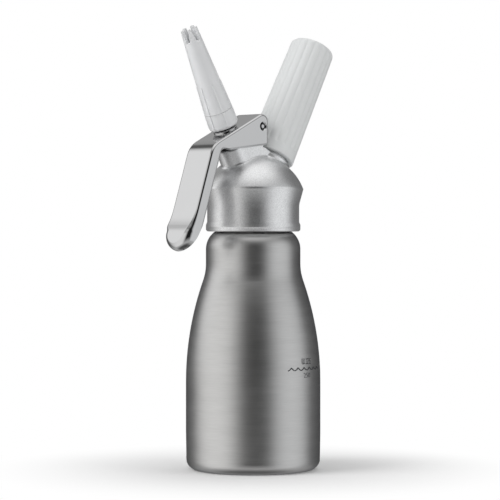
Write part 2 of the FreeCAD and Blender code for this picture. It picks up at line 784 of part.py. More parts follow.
def lever():
    """Pressed channel: top plate, two cheeks and the thumb strap."""
    envelope = slab(lever_corners(False), LEVER_HALF)
    envelope = envelope.common(tongue(LEVER_HALF, STRAP_LENGTH))
    envelope = rounded_face(envelope, 0.0, LEVER_EDGE_R, TIP_EDGE_R)
    hollow = slab(lever_corners(True), LEVER_HALF - LEVER_WALL)
    hollow = hollow.common(tongue(LEVER_HALF - LEVER_WALL, STRAP_LENGTH - LEVER_WALL))
    hollow = rounded_face(hollow, LEVER_WALL, LEVER_INNER_R, TIP_EDGE_R - LEVER_WALL)
    shell = envelope.cut([hollow, flange_fall()])
    emboss = revolved([
        (0, PLATE_TOP - LEVER_WALL / 2),
        (EMBOSS_R, PLATE_TOP - LEVER_WALL / 2),
        (EMBOSS_R, PLATE_TOP + EMBOSS_H, EMBOSS_EDGE_R),
        (0, PLATE_TOP + EMBOSS_H),
    ])
    shell = shell.fuse(on_nozzle_axis(emboss))
    hole = on_nozzle_axis(cylinder(STEM_HOLE_R, BOSS_TOP, PLATE_TOP + EMBOSS_H + PAST))
    pin_hole = Part.makeCylinder(
        PIN_R + SLIP, 4 * LEVER_HALF, Vector(PIN_X, -2 * LEVER_HALF, PIN_Z), Y_AXIS)
    sinks = []
    for side in (-1, 1):
        start = Vector(PIN_X, side * (LEVER_HALF - PIN_SINK), PIN_Z)
        sinks.append(Part.makeCone(
            PIN_R + SLIP, PIN_R + SLIP + 2 * PIN_SINK, 2 * PIN_SINK, start, Vector(0, side, 0)))
    shell = shell.cut([hole, pin_hole] + sinks)
    nibs = []
    for side in (-1, 1):
        start = Vector(0, side * NIB_IN, nib_level())
        nib = Part.makeCylinder(NIB_R, NIB_OUT - NIB_IN, start, Vector(0, side, 0))
        above = Part.makeBox(4 * NIB_R, 4 * NIB_OUT, 4 * NIB_R)
        above.translate(Vector(-2 * NIB_R, -2 * NIB_OUT, PLATE_TOP - LEVER_WALL / 2))
        nibs.append(on_nozzle_axis(nib.cut(above)))
    return shell.fuse(nibs).removeSplitter()


def lever_pin():
    """Pin pressed into the web, with its ends just inside the cheeks."""
    half = LEVER_HALF - PIN_RECESS
    pin = revolved([(0, -half), (PIN_R, -half, SMALL_R), (PIN_R, half, SMALL_R), (0, half)])
    pin.rotate(ORIGIN, Vector(1, 0, 0), 90)
    pin.translate(Vector(PIN_X, 0, PIN_Z))
    return pin


# ---- adaptor and nozzle -----------------------------------------------------
def grip_ribs(low, high, low_r, high_r):
    """Straight ribs that stand a little out of a taper."""
    face = Part.Face(Part.makePolygon([
        Vector(low_r - RIB_ROOT, -RIB_WIDTH / 2, low),
        Vector(low_r + RIB_HEIGHT, -RIB_WIDTH / 2, low),
        Vector(high_r + RIB_HEIGHT, -RIB_WIDTH / 2, high),
        Vector(high_r - RIB_ROOT, -RIB_WIDTH / 2, high),
        Vector(low_r - RIB_ROOT, -RIB_WIDTH / 2, low),
    ]))
    return polar_copies(face.extrude(Vector(0, RIB_WIDTH, 0)), RIB_COUNT, RIB_PHASE)


def taper_radius(level):
    """Outside radius of the nozzle's cone at a level."""
    share = (level - ADAPTOR_SEAM) / (NOZZLE_TIP - ADAPTOR_SEAM)
    return NOZZLE_BASE_R + share * (NOZZLE_TIP_R - NOZZLE_BASE_R)


def nozzle_adaptor():
    """Collar that screws on the stem and carries the nozzle on its spigot."""
    body = revolved([
        (STEM_R + SEAT, ADAPTOR_FOOT),
        (ADAPTOR_FOOT_R, ADAPTOR_FOOT, ADAPTOR_CORNER_R),
        (ADAPTOR_SEAM_R, ADAPTOR_SEAM),
        (SPIGOT_R, ADAPTOR_SEAM),
        (SPIGOT_R, SPIGOT_TOP, SMALL_R),
        (STEM_BORE_R + OUTLET_FLARE, SPIGOT_TOP),
        (STEM_BORE_R, STEM_TOP + SEAT),
        (STEM_R + SEAT, STEM_TOP + SEAT),
    ])
    ribs = grip_ribs(ADAPTOR_FOOT + ADAPTOR_CORNER_R, ADAPTOR_SEAM - SEAT, ADAPTOR_FOOT_R,
                     ADAPTOR_SEAM_R)
    return on_nozzle_axis(body.fuse(ribs).removeSplitter())


def nozzle_seal():
    """Flat ring between the spigot and the shoulder inside the nozzle."""
    inner_r = STEM_BORE_R + OUTLET_FLARE + FINE_R
    return on_nozzle_axis(ring(SPIGOT_R - FINE_R, inner_r, SPIGOT_TOP, SPIGOT_TOP + SEAL_T))


def star_gap():
    """Wedge that opens one gap between two points of the star."""
    foot = NOZZLE_TIP - STAR_DEPTH
    reach = NOZZLE_BASE_R
    wires = []
    for level, gap in ((foot, STAR_GAP_BOTTOM), (NOZZLE_TIP + SEAT, STAR_GAP_TOP)):
        slope = (reach - STAR_ROOT_R) / (taper_radius(level) - STAR_ROOT_R)
        wires.append(Part.makePolygon([
            Vector(STAR_ROOT_R, 0, level),
            Vector(reach, -gap * slope / 2, level),
            Vector(reach, gap * slope / 2, level),
            Vector(STAR_ROOT_R, 0, level),
        ]))
    return Part.makeLoft(wires, True, True)


def decorating_nozzle():
    """Tapered nozzle with grip ribs and a five-pointed star tip."""
    step = SPIGOT_TOP + SEAL_T
    inner_step_r = taper_radius(step) - NOZZLE_WALL
    body = revolved([
        (SPIGOT_R + THREAD_GAP, ADAPTOR_SEAM + SEAT),
        (NOZZLE_BASE_R, ADAPTOR_SEAM + SEAT, NOZZLE_FOOT_EDGE_R),
        (NOZZLE_TIP_R, NOZZLE_TIP),
        (NOZZLE_TIP_R - NOZZLE_WALL, NOZZLE_TIP),
        (inner_step_r - NOZZLE_SHOULDER, step),
        (SPIGOT_R + THREAD_GAP, step),
    ])
    ribs = grip_ribs(ADAPTOR_SEAM + NOZZLE_FOOT_EDGE_R, RIB_TOP, NOZZLE_BASE_R,
                     taper_radius(RIB_TOP))
    gap_phase = STAR_PHASE + 180.0 / STAR_POINTS
    gaps = polar_copies(star_gap(), STAR_POINTS, gap_phase)
    return on_nozzle_axis(body.fuse(ribs).cut(gaps).removeSplitter())


# ---- charger, holder and piercing unit --------------------------------------
def holder_radius(level):
    share = (level - HOLDER_MOUTH) / (HOLDER_TOP - HOLDER_MOUTH)
    return HOLDER_MOUTH_R + share * (HOLDER_TOP_R - HOLDER_MOUTH_R)


def flute():
    """Shallow round-bottomed groove down the side of the holder."""
    half_pitch = math.pi * HOLDER_TOP_R / FLUTE_COUNT
    groove_r = (half_pitch ** 2 + FLUTE_DEPTH ** 2) / (2 * FLUTE_DEPTH)
    foot = Vector(holder_radius(FLUTE_FOOT) + groove_r - FLUTE_DEPTH, 0, FLUTE_FOOT)
    head = Vector(holder_radius(HOLDER_TOP) + groove_r - FLUTE_DEPTH, 0, HOLDER_TOP + PAST)
    run = head - foot
    return Part.makeCylinder(groove_r, run.Length, foot, run)


def charger_holder():
    """Fluted closed tube that screws over the charger."""
    cell_top = HOLDER_TOP - HOLDER_WALL
    thread_r = CHARGER_SPIGOT_R + THREAD_GAP
    thread_top = HOLDER_MOUTH + HOLDER_THREAD_DEPTH
    tube = revolved([
        (thread_r, HOLDER_MOUTH, SMALL_R),
        (HOLDER_MOUTH_R, HOLDER_MOUTH, HOLDER_MOUTH_EDGE_R),
        (HOLDER_TOP_R, HOLDER_TOP, HOLDER_TOP_CORNER_R),
        (0, HOLDER_TOP),
        (0, cell_top),
        (CHARGER_CELL_R, cell_top, CHARGER_CELL_CORNER_R),
        (CHARGER_CELL_R, thread_top + HOLDER_THREAD_END),
        (thread_r, thread_top),
    ])
    return on_charger_axis(tube.cut(polar_copies(flute(), FLUTE_COUNT, FLUTE_PHASE)))


def charger_rest_pad():
    """Rubber disc that the closed end of the charger rests on."""
    top = HOLDER_TOP - HOLDER_WALL
    return on_charger_axis(revolved([
        (0, top - REST_PAD_T),
        (REST_PAD_R, top - REST_PAD_T, SMALL_R),
        (REST_PAD_R, top),
        (0, top),
    ]))


def charger_end():
    """Level of the charger's closed end."""
    return HOLDER_TOP - HOLDER_WALL - REST_PAD_T


def charger_tip():
    return charger_end() - CHARGER_LENGTH


def gas_charger():
    """Steel cartridge, neck down, with its neck pierced."""
    tip = charger_tip()
    neck_top = tip + CHARGER_NECK_H
    end = charger_end()
    body = revolved([
        (0, tip),
        (CHARGER_NECK_R, tip, SMALL_R),
        (CHARGER_NECK_R, neck_top, CHARGER_ROOT_R),
        (CHARGER_R, neck_top + CHARGER_SHOULDER_H, CHARGER_SHOULDER_R),
        (CHARGER_R, end, CHARGER_SHOULDER_R),
        (0, end),
    ])
    hole = revolved([
        (0, tip - PAST),
        (PIERCED_HOLE_R, tip - PAST),
        (PIERCED_HOLE_R, tip + PIERCED_DEPTH - PIERCED_TAPER),
        (0, tip + PIERCED_DEPTH),
    ])
    return on_charger_axis(body.cut(hole))


def charger_gasket():
    """Rubber ring that the charger's neck presses on."""
    top = charger_tip()
    return on_charger_axis(revolved([
        (CHARGER_GASKET_IN_R, top - CHARGER_GASKET_T),
        (RECESS_R - SLIP, top - CHARGER_GASKET_T, FINE_R),
        (RECESS_R - SLIP, top, SMALL_R),
        (CHARGER_GASKET_IN_R, top, SMALL_R),
    ]))


def housing_top():
    return charger_tip() - CHARGER_GASKET_T


def pin_housing():
    """Threaded plug that holds the piercing pin in the head."""
    top = housing_top()
    low = top - HOUSING_H
    return on_charger_axis(revolved([
        (PIN_NEEDLE_R + SEAT, low + FILTER_T),
        (RECESS_R - SEAT, low + FILTER_T),
        (RECESS_R - SEAT, top, FINE_R),
        (PIN_POCKET_R, top),
        (PIN_POCKET_R, top - PIN_POCKET_H),
        (PIN_NEEDLE_R + SEAT, top - PIN_POCKET_H),
    ]))


def gas_filter():
    """Sintered disc under the housing."""
    low = housing_top() - HOUSING_H
    return on_charger_axis(ring(RECESS_R - SEAT, PIN_NEEDLE_R + SEAT, low, low + FILTER_T))


def piercing_pin():
    """Hollow needle from the head's cavity up into the charger's neck."""
    low = housing_top() - HOUSING_H - SLEEVE_H - NEEDLE_TAIL
    high = charger_tip() + NEEDLE_PROUD
    needle = revolved([
        (0, low),
        (PIN_NEEDLE_R, low, FINE_R),
        (PIN_NEEDLE_R, high - NEEDLE_POINT_H),
        (0, high),
    ])
    side_hole = low + NEEDLE_SIDE_HOLE_H
    bore = cylinder(PIN_NEEDLE_R / 2, side_hole - 2 * NEEDLE_SIDE_HOLE_R, high + PAST)
    cross = Part.makeCylinder(NEEDLE_SIDE_HOLE_R, 4 * PIN_NEEDLE_R,
                              Vector(0, -2 * PIN_NEEDLE_R, side_hole), Y_AXIS)
    return on_charger_axis(needle.cut([bore, cross]))


def check_valve_sleeve():
    """Rubber sleeve over the needle's side hole: gas gets out, cream stays out."""
    top = housing_top() - HOUSING_H
    return on_charger_axis(revolved([
        (PIN_NEEDLE_R + SEAT, top - SLEEVE_H),
        (SLEEVE_R, top - SLEEVE_H, SMALL_R),
        (SLEEVE_R, top, FINE_R),
        (PIN_NEEDLE_R + SEAT, top),
    ]))


PIECES = {
    "bottle_body": bottle_body,
    "head_gasket": head_gasket,
    "head_casting": head_casting,
    "lever": lever,
    "lever_pin": lever_pin,
    "valve_stem": valve_stem,
    "stem_o_ring": stem_o_ring,
    "valve_gasket": valve_gasket,
    "valve_nut": valve_nut,
    "spring_collar": spring_collar,
    "spring_washer": spring_washer,
    "valve_spring": valve_spring,
    "nozzle_adaptor": nozzle_adaptor,
    "nozzle_seal": nozzle_seal,
    "decorating_nozzle": decorating_nozzle,
    "charger_holder": charger_holder,
    "charger_rest_pad": charger_rest_pad,
    "gas_charger": gas_charger,
    "charger_gasket": charger_gasket,
    "pin_housing": pin_housing,
    "gas_filter": gas_filter,
    "piercing_pin": piercing_pin,
    "check_valve_sleeve": check_valve_sleeve,
}


def main():
    os.makedirs("parts", exist_ok=True)
    for name, make in PIECES.items():
        shape = make()
        print(name, "valid", shape.isValid(), "solids", len(shape.Solids),
              "volume", round(shape.Volume, 2))
        shape.exportStep(os.path.join("parts", name + ".step"))


main()
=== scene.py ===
"""Looks of the whipped cream dispenser: finishes, threads, spring, holder, fill mark and stage.

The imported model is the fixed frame, and every piece here is placed by its axes and boxes.
All sizes are in metres, unless a comment says otherwise.
"""

import json
import math

import bmesh
import bpy
from mathutils import Matrix, Vector


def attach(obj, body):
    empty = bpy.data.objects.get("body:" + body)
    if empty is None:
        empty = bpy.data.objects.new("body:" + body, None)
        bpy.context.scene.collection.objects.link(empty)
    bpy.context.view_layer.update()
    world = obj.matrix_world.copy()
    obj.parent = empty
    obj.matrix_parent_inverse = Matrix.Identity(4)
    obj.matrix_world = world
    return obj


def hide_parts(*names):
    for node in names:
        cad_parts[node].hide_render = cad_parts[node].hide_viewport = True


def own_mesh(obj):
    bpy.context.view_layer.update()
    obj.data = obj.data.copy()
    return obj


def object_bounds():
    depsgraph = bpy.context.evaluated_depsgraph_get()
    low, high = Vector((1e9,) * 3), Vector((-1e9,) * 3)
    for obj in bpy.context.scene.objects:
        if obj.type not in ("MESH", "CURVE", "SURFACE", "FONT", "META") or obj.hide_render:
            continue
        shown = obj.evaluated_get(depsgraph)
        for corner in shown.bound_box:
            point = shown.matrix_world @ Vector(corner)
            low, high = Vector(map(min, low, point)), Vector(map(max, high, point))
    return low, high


bl_info = {
    "name": "Cream Dispenser Looks",
    "version": (1, 0, 0),
    "blender": (4, 5, 0),
    "location": "View3D > Sidebar > Dispenser",
    "description": "Finishes, threads, valve spring, fluted holder and studio of the dispenser",
    "category": "Object",
}

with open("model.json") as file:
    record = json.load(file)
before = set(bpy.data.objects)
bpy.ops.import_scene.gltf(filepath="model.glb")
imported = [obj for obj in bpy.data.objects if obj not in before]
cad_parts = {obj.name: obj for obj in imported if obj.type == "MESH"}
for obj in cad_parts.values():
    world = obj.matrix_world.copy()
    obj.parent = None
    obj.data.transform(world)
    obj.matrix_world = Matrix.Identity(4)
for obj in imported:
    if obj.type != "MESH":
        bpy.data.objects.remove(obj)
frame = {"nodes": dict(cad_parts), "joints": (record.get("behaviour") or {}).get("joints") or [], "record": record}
CAD_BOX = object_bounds()

MM = 0.001
FULL_TURN = 2 * math.pi
WHITE = (1.0, 1.0, 1.0, 1.0)


# ---- axes of the model ----
class Axis:
    """A line of the frame that turned pieces are measured along and placed on."""

    def __init__(self, origin, direction):
        self.origin = Vector(origin)
        self.direction = Vector(direction).normalized()

    def point(self, level):
        return self.origin + self.direction * level

    def placing(self):
        """Matrix that puts a mesh made about Z on this axis."""
        turn = Vector((0, 0, 1)).rotation_difference(self.direction)
        return Matrix.Translation(self.origin) @ turn.to_matrix().to_4x4()

    def measured(self, node):
        """(level, radius) of each vertex of a node about this axis."""
        pairs = []
        for vertex in frame["nodes"][node].data.vertices:
            offset = vertex.co - self.origin
            level = offset.dot(self.direction)
            pairs.append((level, (offset - self.direction * level).length))
        return pairs

    def span(self, node):
        """Lowest and highest level of a node along this axis."""
        levels = [level for level, radius in self.measured(node)]
        return min(levels), max(levels)

    def radius_near(self, node, level, reach):
        """Largest radius of a node within reach of a level."""
        return max(radius for found, radius in self.measured(node) if abs(found - level) <= reach)


def joint(name):
    return next(entry for entry in frame["joints"] if entry["name"] == name)


def thread_pitch(slide, turn):
    """Travel of a coupled slide for one turn of its hinge."""
    return joint(slide)["range_m"][1] * 360 / joint(turn)["range_deg"][1]


UPRIGHT = Axis((0, 0, 0), (0, 0, 1))
NOZZLE_AXIS = Axis(joint("nozzle_turn")["pos_m"], joint("nozzle_turn")["axis"])
CHARGER_AXIS = Axis(joint("holder_turn")["pos_m"], joint("holder_turn")["axis"])


# ---- node trees ----
def arithmetic(operation, turned_round=False):
    """A method that adds a Math node, also for a number on the left of a value."""
    def method(value, other):
        return maths(operation, other, value) if turned_round else maths(operation, value, other)
    return method


class Value:
    """An output of a node. Arithmetic on it adds Math nodes to its tree."""

    def __init__(self, socket):
        self.socket = socket
        self.tree = socket.id_data

    __add__ = arithmetic("ADD")
    __sub__ = arithmetic("SUBTRACT")
    __rsub__ = arithmetic("SUBTRACT", turned_round=True)
    __mul__ = arithmetic("MULTIPLY")
    __truediv__ = arithmetic("DIVIDE")
    __rtruediv__ = arithmetic("DIVIDE", turned_round=True)


class Outputs:
    """The outputs of a node, each of them as a Value."""

    def __init__(self, node):
        self.sockets = node.outputs

    def __getitem__(self, key):
        return Value(pick(self.sockets, key))


def pick(sockets, key):
    """A socket by its place, its identifier or else its name."""
    if isinstance(key, int):
        return sockets[key]
    for socket in sockets:
        if socket.identifier == key:
            return socket
    return sockets[key]


def fill(sockets, values):
    """Links or sets the inputs that values names."""
    for key, value in values.items():
        socket = pick(sockets, key)
        if isinstance(value, Value):
            value.tree.links.new(value.socket, socket)
        else:
            socket.default_value = value


def put(tree, kind, values=None, **settings):
    """Adds a node with its settings and inputs, and returns its outputs."""
    node = tree.nodes.new(kind)
    for setting, value in settings.items():
        setattr(node, setting, value)
    fill(node.inputs, values or {})
    return Outputs(node)


def tree_of(values):
    """The tree that the outputs among some values belong to."""
    return next(value.tree for value in values if isinstance(value, Value))


def maths(operation, *values):
    """Result of a Math node."""
    return put(tree_of(values), "ShaderNodeMath", dict(enumerate(values)), operation=operation)[0]


def vectors(operation, *values):
    """Result of a Vector Math node: the number where it makes one, and else the vector."""
    outputs = put(tree_of(values), "ShaderNodeVectorMath", dict(enumerate(values)),
                  operation=operation)
    return outputs["Value" if operation in ("DOT_PRODUCT", "LENGTH") else "Vector"]


def scaled(vector, amount):
    return put(amount.tree, "ShaderNodeVectorMath", {0: vector, "Scale": amount},
               operation="SCALE")["Vector"]


def combined(x, y, z):
    return put(tree_of((x, y, z)), "ShaderNodeCombineXYZ", {"X": x, "Y": y, "Z": z})[0]


def parted(vector):
    """The X, Y and Z outputs of a vector."""
    return put(vector.tree, "ShaderNodeSeparateXYZ", {"Vector": vector})


def ramp(value, low, high, to_low=0.0, to_high=1.0, kind="SMOOTHSTEP"):
    """Value brought from the range low to high into the range to_low to to_high."""
    return put(value.tree, "ShaderNodeMapRange", {
        "Value": value, "From Min": low, "From Max": high, "To Min": to_low, "To Max": to_high,
    }, interpolation_type=kind)["Result"]


def around(value, low, high, middle, spread):
    """Value brought from the range low to high to within a spread of a middle."""
    return ramp(value, low, high, middle - spread, middle + spread, "LINEAR")


def mixed(share, colour_a, colour_b):
    """Colour between two colours."""
    return put(share.tree, "ShaderNodeMix", {
        "Factor_Float": share, "A_Color": colour_a, "B_Color": colour_b,
    }, data_type="RGBA")["Result_Color"]


def noise(vector, scale, detail, roughness=0.5, distortion=0.0):
    return put(vector.tree, "ShaderNodeTexNoise", {
        "Vector": vector, "Scale": scale, "Detail": detail, "Roughness": roughness,
        "Distortion": distortion,
    })["Fac"]


NUMBER_SOCKETS = {float: "NodeSocketFloat", int: "NodeSocketInt"}


def node_group(kind, build, values):
    """The node group that a function builds the first time that it is asked for.

    It is named after the function. Its inputs have the names of the values and start out at
    them, and one that isn't a number is of the kind that it is named after. The function gets
    the tree and its inputs, and returns its outputs by their names.
    """
    name = build.__name__
    if name in bpy.data.node_groups:
        return bpy.data.node_groups[name]
    tree = bpy.data.node_groups.new(name, kind)
    for label, value in values.items():
        number = NUMBER_SOCKETS.get(type(value))
        item = tree.interface.new_socket(name=label, in_out="INPUT",
                                         socket_type=number or "NodeSocket" + label)
        if number:
            item.default_value = value
    results = build(tree, Outputs(tree.nodes.new("NodeGroupInput")))
    for label in results:
        socket_type = "NodeSocketGeometry" if label == "Geometry" else "NodeSocketFloat"
        tree.interface.new_socket(name=label, in_out="OUTPUT", socket_type=socket_type)
    fill(tree.nodes.new("NodeGroupOutput").inputs, results)
    return tree


# ---- shader groups that several finishes share ----
CLOUD_GRAINS = 40.0  # grains across one cloud
STREAK_LENGTHENING = 0.4  # share of the lines' frequency along their run
STREAK_WIDENING = 0.12  # share of the lines' frequency across their run
PATCH_EDGE = (0.48, 0.72)  # values of the noise where a patch starts and where it is full


def fine_grain(tree, given):
    """Even grain of a blasted, moulded or rubber skin."""
    scale = 1.0 / given["Grain Size"]
    return {
        "Height": noise(given["Vector"], scale, detail=2.0, roughness=0.6),
        "Cloud": noise(given["Vector"], scale / CLOUD_GRAINS, detail=3.0),
    }


def brush_lines(tree, given):
    """Fine lines that run round the Z of the given coordinates."""
    along = 1.0 / given["Line Run"]
    across = 1.0 / given["Line Gap"]
    lines = vectors("MULTIPLY", given["Vector"], combined(along, along, across))
    long = along * STREAK_LENGTHENING
    wide = across * STREAK_WIDENING
    streaks = vectors("MULTIPLY", given["Vector"], combined(long, long, wide))
    return {
        "Height": noise(lines, 1.0, detail=3.0, roughness=0.65),
        "Streak": noise(streaks, 1.0, detail=4.0, roughness=0.6),
    }


def handling_marks(tree, given):
    """Faint patches where hands have dulled or cleaned the surface."""
    patches = noise(given["Vector"], 1.0 / given["Patch Size"], detail=5.0, roughness=0.55,
                    distortion=0.6)
    return {"Mask": ramp(patches, *PATCH_EDGE)}


def shared(build, values):
    """Outputs of a shared shader group that is placed in the tree of its values."""
    return put(tree_of(values.values()), "ShaderNodeGroup", values,
               node_tree=node_group("ShaderNodeTree", build, values))


# ---- finishes ----
def start_finish(name, **constants):
    """A material with one Principled shader, whose constants are set on its own sockets."""
    material = bpy.data.materials.new(name)
    material.use_nodes = True
    tree = material.node_tree
    tree.nodes.clear()
    shader = tree.nodes.new("ShaderNodeBsdfPrincipled")
    output = tree.nodes.new("ShaderNodeOutputMaterial")
    tree.links.new(shader.outputs["BSDF"], output.inputs["Surface"])
    fill(shader.inputs, {key.replace("_", " "): value for key, value in constants.items()})
    return material, tree, shader


def object_coordinates(tree, axis=None):
    """Object coordinates, turned so that Z runs along an axis where one is given."""
    place = put(tree, "ShaderNodeTexCoord")["Object"]
    if axis is None:
        return place
    away = vectors("SUBTRACT", place, tuple(axis.origin))
    turn = axis.direction.rotation_difference(Vector((0, 0, 1))).to_euler()
    return put(tree, "ShaderNodeMapping", {"Vector": away, "Rotation": tuple(turn)})[0]


def bump(height, depth):
    """Normal of a height of the given depth."""
    return put(height.tree, "ShaderNodeBump", {"Distance": depth, "Height": height})["Normal"]


def shade(colour, share):
    """A colour made lighter or darker."""
    return tuple(channel * share for channel in colour[:3]) + (1.0,)


def tinted(share, colour, tint):
    """Colour that goes from a little darker to a little lighter."""
    return mixed(share, shade(colour, 1.0 - tint), shade(colour, 1.0 + tint))


STEEL_PATCH = 0.018
SKIN_PATCH = 0.012
# Outputs of the shared groups that a finish's darkest and lightest, or smoothest and roughest,
# places stand for.
STREAK_RANGE = (0.2, 0.8)
CLOUD_RANGE = (0.3, 0.7)
GRAIN_RANGE = (0.25, 0.75)


def brushed_steel(name, colour, roughness, gap, run, depth, axis=None, spread=0.04, tint=0.06,
                  **constants):
    """Steel with lines that run round an axis, or round Z where none is given."""
    material, tree, shader = start_finish(name, Metallic=1.0, **constants)
    place = object_coordinates(tree, axis)
    lines = shared(brush_lines, {"Vector": place, "Line Gap": gap, "Line Run": run})
    marks = shared(handling_marks, {"Vector": place, "Patch Size": STEEL_PATCH})
    both = (lines["Streak"] + lines["Height"]) * 0.5
    streaky = around(lines["Streak"], *STREAK_RANGE, roughness, spread)
    fill(shader.inputs, {
        "Base Color": tinted(ramp(both, *CLOUD_RANGE, kind="LINEAR"), colour, tint),
        "Roughness": marks["Mask"] * (spread / 2) + streaky,
        "Normal": bump(lines["Height"], depth),
    })
    return material


def grained_skin(name, colour, roughness, grain, depth, spread=0.04, tint=0.04,
                 speckle=0.0, relief=None, **constants):
    """Blasted metal, moulded plastic or rubber: an even grain with a slight cloudiness.

    A relief is a function that gives a height in millimetres for the grain to lie on.
    """
    material, tree, shader = start_finish(name, **constants)
    place = object_coordinates(tree)
    skin = shared(fine_grain, {"Vector": place, "Grain Size": grain})
    marks = shared(handling_marks, {"Vector": place, "Patch Size": SKIN_PATCH})
    tone = tinted(skin["Cloud"], colour, tint)
    if speckle:
        tone = vectors("MULTIPLY", tone, around(skin["Height"], *GRAIN_RANGE, 1.0, speckle))
    cloudy = around(skin["Cloud"], *CLOUD_RANGE, roughness, spread)
    if relief:
        normal = bump(skin["Height"] * (depth / MM) + relief(place), MM)
    else:
        normal = bump(skin["Height"], depth)
    fill(shader.inputs, {
        "Base Color": tone,
        "Roughness": marks["Mask"] * spread + cloudy,
        "Normal": normal,
    })
    return material


PIN_GROOVE_AND_SHADE = (0.50, 0.64)  # shares of the pin's radius where its sunk ring, darkened with painted shade, starts and is full
PIN_GROOVE_DEPTH = 0.2 * MM
PIN_GRAIN = 0.0002
PIN_TINT = 0.04


def turned_pin_ends(name, colour, radius, painted_shade_colour):
    """Ground steel with a shallow sunk ring round the middle of each end, and painted shade darkening that ring.
    """
    material, tree, shader = start_finish(name, Metallic=1.0, Roughness=0.18)
    place = object_coordinates(tree)
    away = vectors("SUBTRACT", place, tuple(joint("lever_pivot")["pos_m"]))
    out = vectors("LENGTH", vectors("MULTIPLY", away, (1.0, 0.0, 1.0)))
    groove_and_shade = ramp(out / radius, *PIN_GROOVE_AND_SHADE)
    skin = shared(fine_grain, {"Vector": place, "Grain Size": PIN_GRAIN})
    bright = tinted(skin["Cloud"], colour, PIN_TINT)
    # The ring's colour is painted shade, near-black, for the shadowed gap between the pin and the lever's cheek.
    fill(shader.inputs, {
        "Base Color": mixed(groove_and_shade, bright, painted_shade_colour),
        "Normal": bump(1.0 - groove_and_shade, PIN_GROOVE_DEPTH),
    })
    return material


BALLS_PER_METRE = 6000.0
BALL_DEPTH = 0.06 * MM
BALL_MIDDLE = 0.1  # shares of a ball's size, from its middle
BALL_EDGE = 0.7
BALL_PAINTED_SHADE = 0.35  # share of the colour that is left between the balls, as painted shade in the pores
BALL_ROUGHNESS = (0.3, 0.7)


def sintered_bronze(name, colour):
    """Bronze balls fused into a porous disc, with painted shade darkening the pores between the balls."""
    material, tree, shader = start_finish(name, Metallic=1.0)
    away = put(tree, "ShaderNodeTexVoronoi", {
        "Vector": object_coordinates(tree), "Scale": BALLS_PER_METRE,
    })["Distance"]
    fill(shader.inputs, {
        # The colour darkens towards the edge of each ball: painted shade in the pores between them.
        "Base Color": mixed(ramp(away, BALL_MIDDLE, BALL_EDGE), colour, shade(colour, BALL_PAINTED_SHADE)),
        "Roughness": ramp(away, 0.0, BALL_EDGE, *BALL_ROUGHNESS),
        "Normal": bump(1.0 - away, BALL_DEPTH),
    })
    return material


INK_GRAIN = 0.00015
INK_LIGHTEST = 1.8
INK_ROUGHNESS = (0.45, 0.6)


def mark_ink(name, colour):
    """Dark oxide of a mark burnt into steel."""
    material, tree, shader = start_finish(name, Metallic=0.2)
    skin = shared(fine_grain, {"Vector": object_coordinates(tree), "Grain Size": INK_GRAIN})
    fill(shader.inputs, {
        "Base Color": mixed(skin["Height"], colour, shade(colour, INK_LIGHTEST)),
        "Roughness": ramp(skin["Cloud"], *CLOUD_RANGE, *INK_ROUGHNESS),
    })
    return material


def dress(node, material):
    """Gives a CAD node its finish."""
    for entry in frame["nodes"][node].material_slots:
        entry.material = material


# ---- mesh helpers ----
MERGE_DISTANCE = 1e-7


def plain_mesh(name, source):
    """Evaluated copy of an object as a plain mesh, with its normals outwards."""
    bpy.context.view_layer.update()
    graph = bpy.context.evaluated_depsgraph_get()
    mesh = bpy.data.meshes.new_from_object(source.evaluated_get(graph))
    mesh.name = name
    shell = bmesh.new()
    shell.from_mesh(mesh)
    bmesh.ops.remove_doubles(shell, verts=shell.verts, dist=MERGE_DISTANCE)
    bmesh.ops.recalc_face_normals(shell, faces=shell.faces)
    shell.to_mesh(mesh)
    shell.free()
    return mesh


def add_object(name, data):
    piece = bpy.data.objects.new(name, data)
    bpy.context.scene.collection.objects.link(piece)
    return piece


def grown(name, build, values, seed=None):
    """Plain mesh of the Geometry Nodes tree that a function builds, run with these values."""
    base = add_object(name + "_seed", seed or bpy.data.meshes.new(name + "_seed"))
    modifier = base.modifiers.new("grow", "NODES")
    modifier.node_group = node_group("GeometryNodeTree", build, {"Geometry": base, **values})
    for item in modifier.node_group.interface.items_tree:
        if item.in_out == "INPUT" and item.name in values:
            modifier[item.identifier] = values[item.name]
    mesh = plain_mesh(name, base)
    base.modifiers.remove(modifier)
    bpy.data.objects.remove(base)
    if not mesh.polygons:
        raise RuntimeError(f"{name}: the node tree made no faces")
    return mesh


def finish_piece(name, mesh, body, axis=None):
    """Puts a mesh on its axis as a piece that rides on a body."""
    if axis is not None:
        mesh.transform(axis.placing())
    piece = add_object(name, mesh)
    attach(piece, body)
    return piece


# ---- Geometry Nodes ----
def finished(given, geometry):
    """Output of a tree: smooth, real geometry with its material."""
    tree = geometry.tree
    smooth = put(tree, "GeometryNodeSetShadeSmooth", {"Geometry": geometry})[0]
    real = put(tree, "GeometryNodeRealizeInstances", {"Geometry": smooth})[0]
    return {"Geometry": put(tree, "GeometryNodeSetMaterial", {
        "Geometry": real, "Material": given["Material"],
    })[0]}


def swept(given, steps, place, section, scale=1.0):
    """Output of a tree: a section swept along the place that each of some steps has."""
    tree = place.tree
    line = put(tree, "GeometryNodeCurvePrimitiveLine")[0]
    points = put(tree, "GeometryNodeResampleCurve", {"Curve": line, "Count": steps + 1.0})[0]
    laid = put(tree, "GeometryNodeSetPosition", {"Geometry": points, "Position": place})[0]
    upright = put(tree, "GeometryNodeSetCurveNormal", {"Curve": laid}, mode="Z_UP")[0]
    return finished(given, put(tree, "GeometryNodeCurveToMesh", {
        "Curve": upright, "Profile Curve": section, "Scale": scale, "Fill Caps": True,
    })[0])


def on_circle(angle, radius, level):
    """Place at an angle round Z."""
    return combined(maths("COSINE", angle) * radius, maths("SINE", angle) * radius, level)


LEAST_RUN_OUT = 1e-4  # turns
RUN_OUT_START = -0.2  # share of the run-out, so that a thread's end keeps some thickness


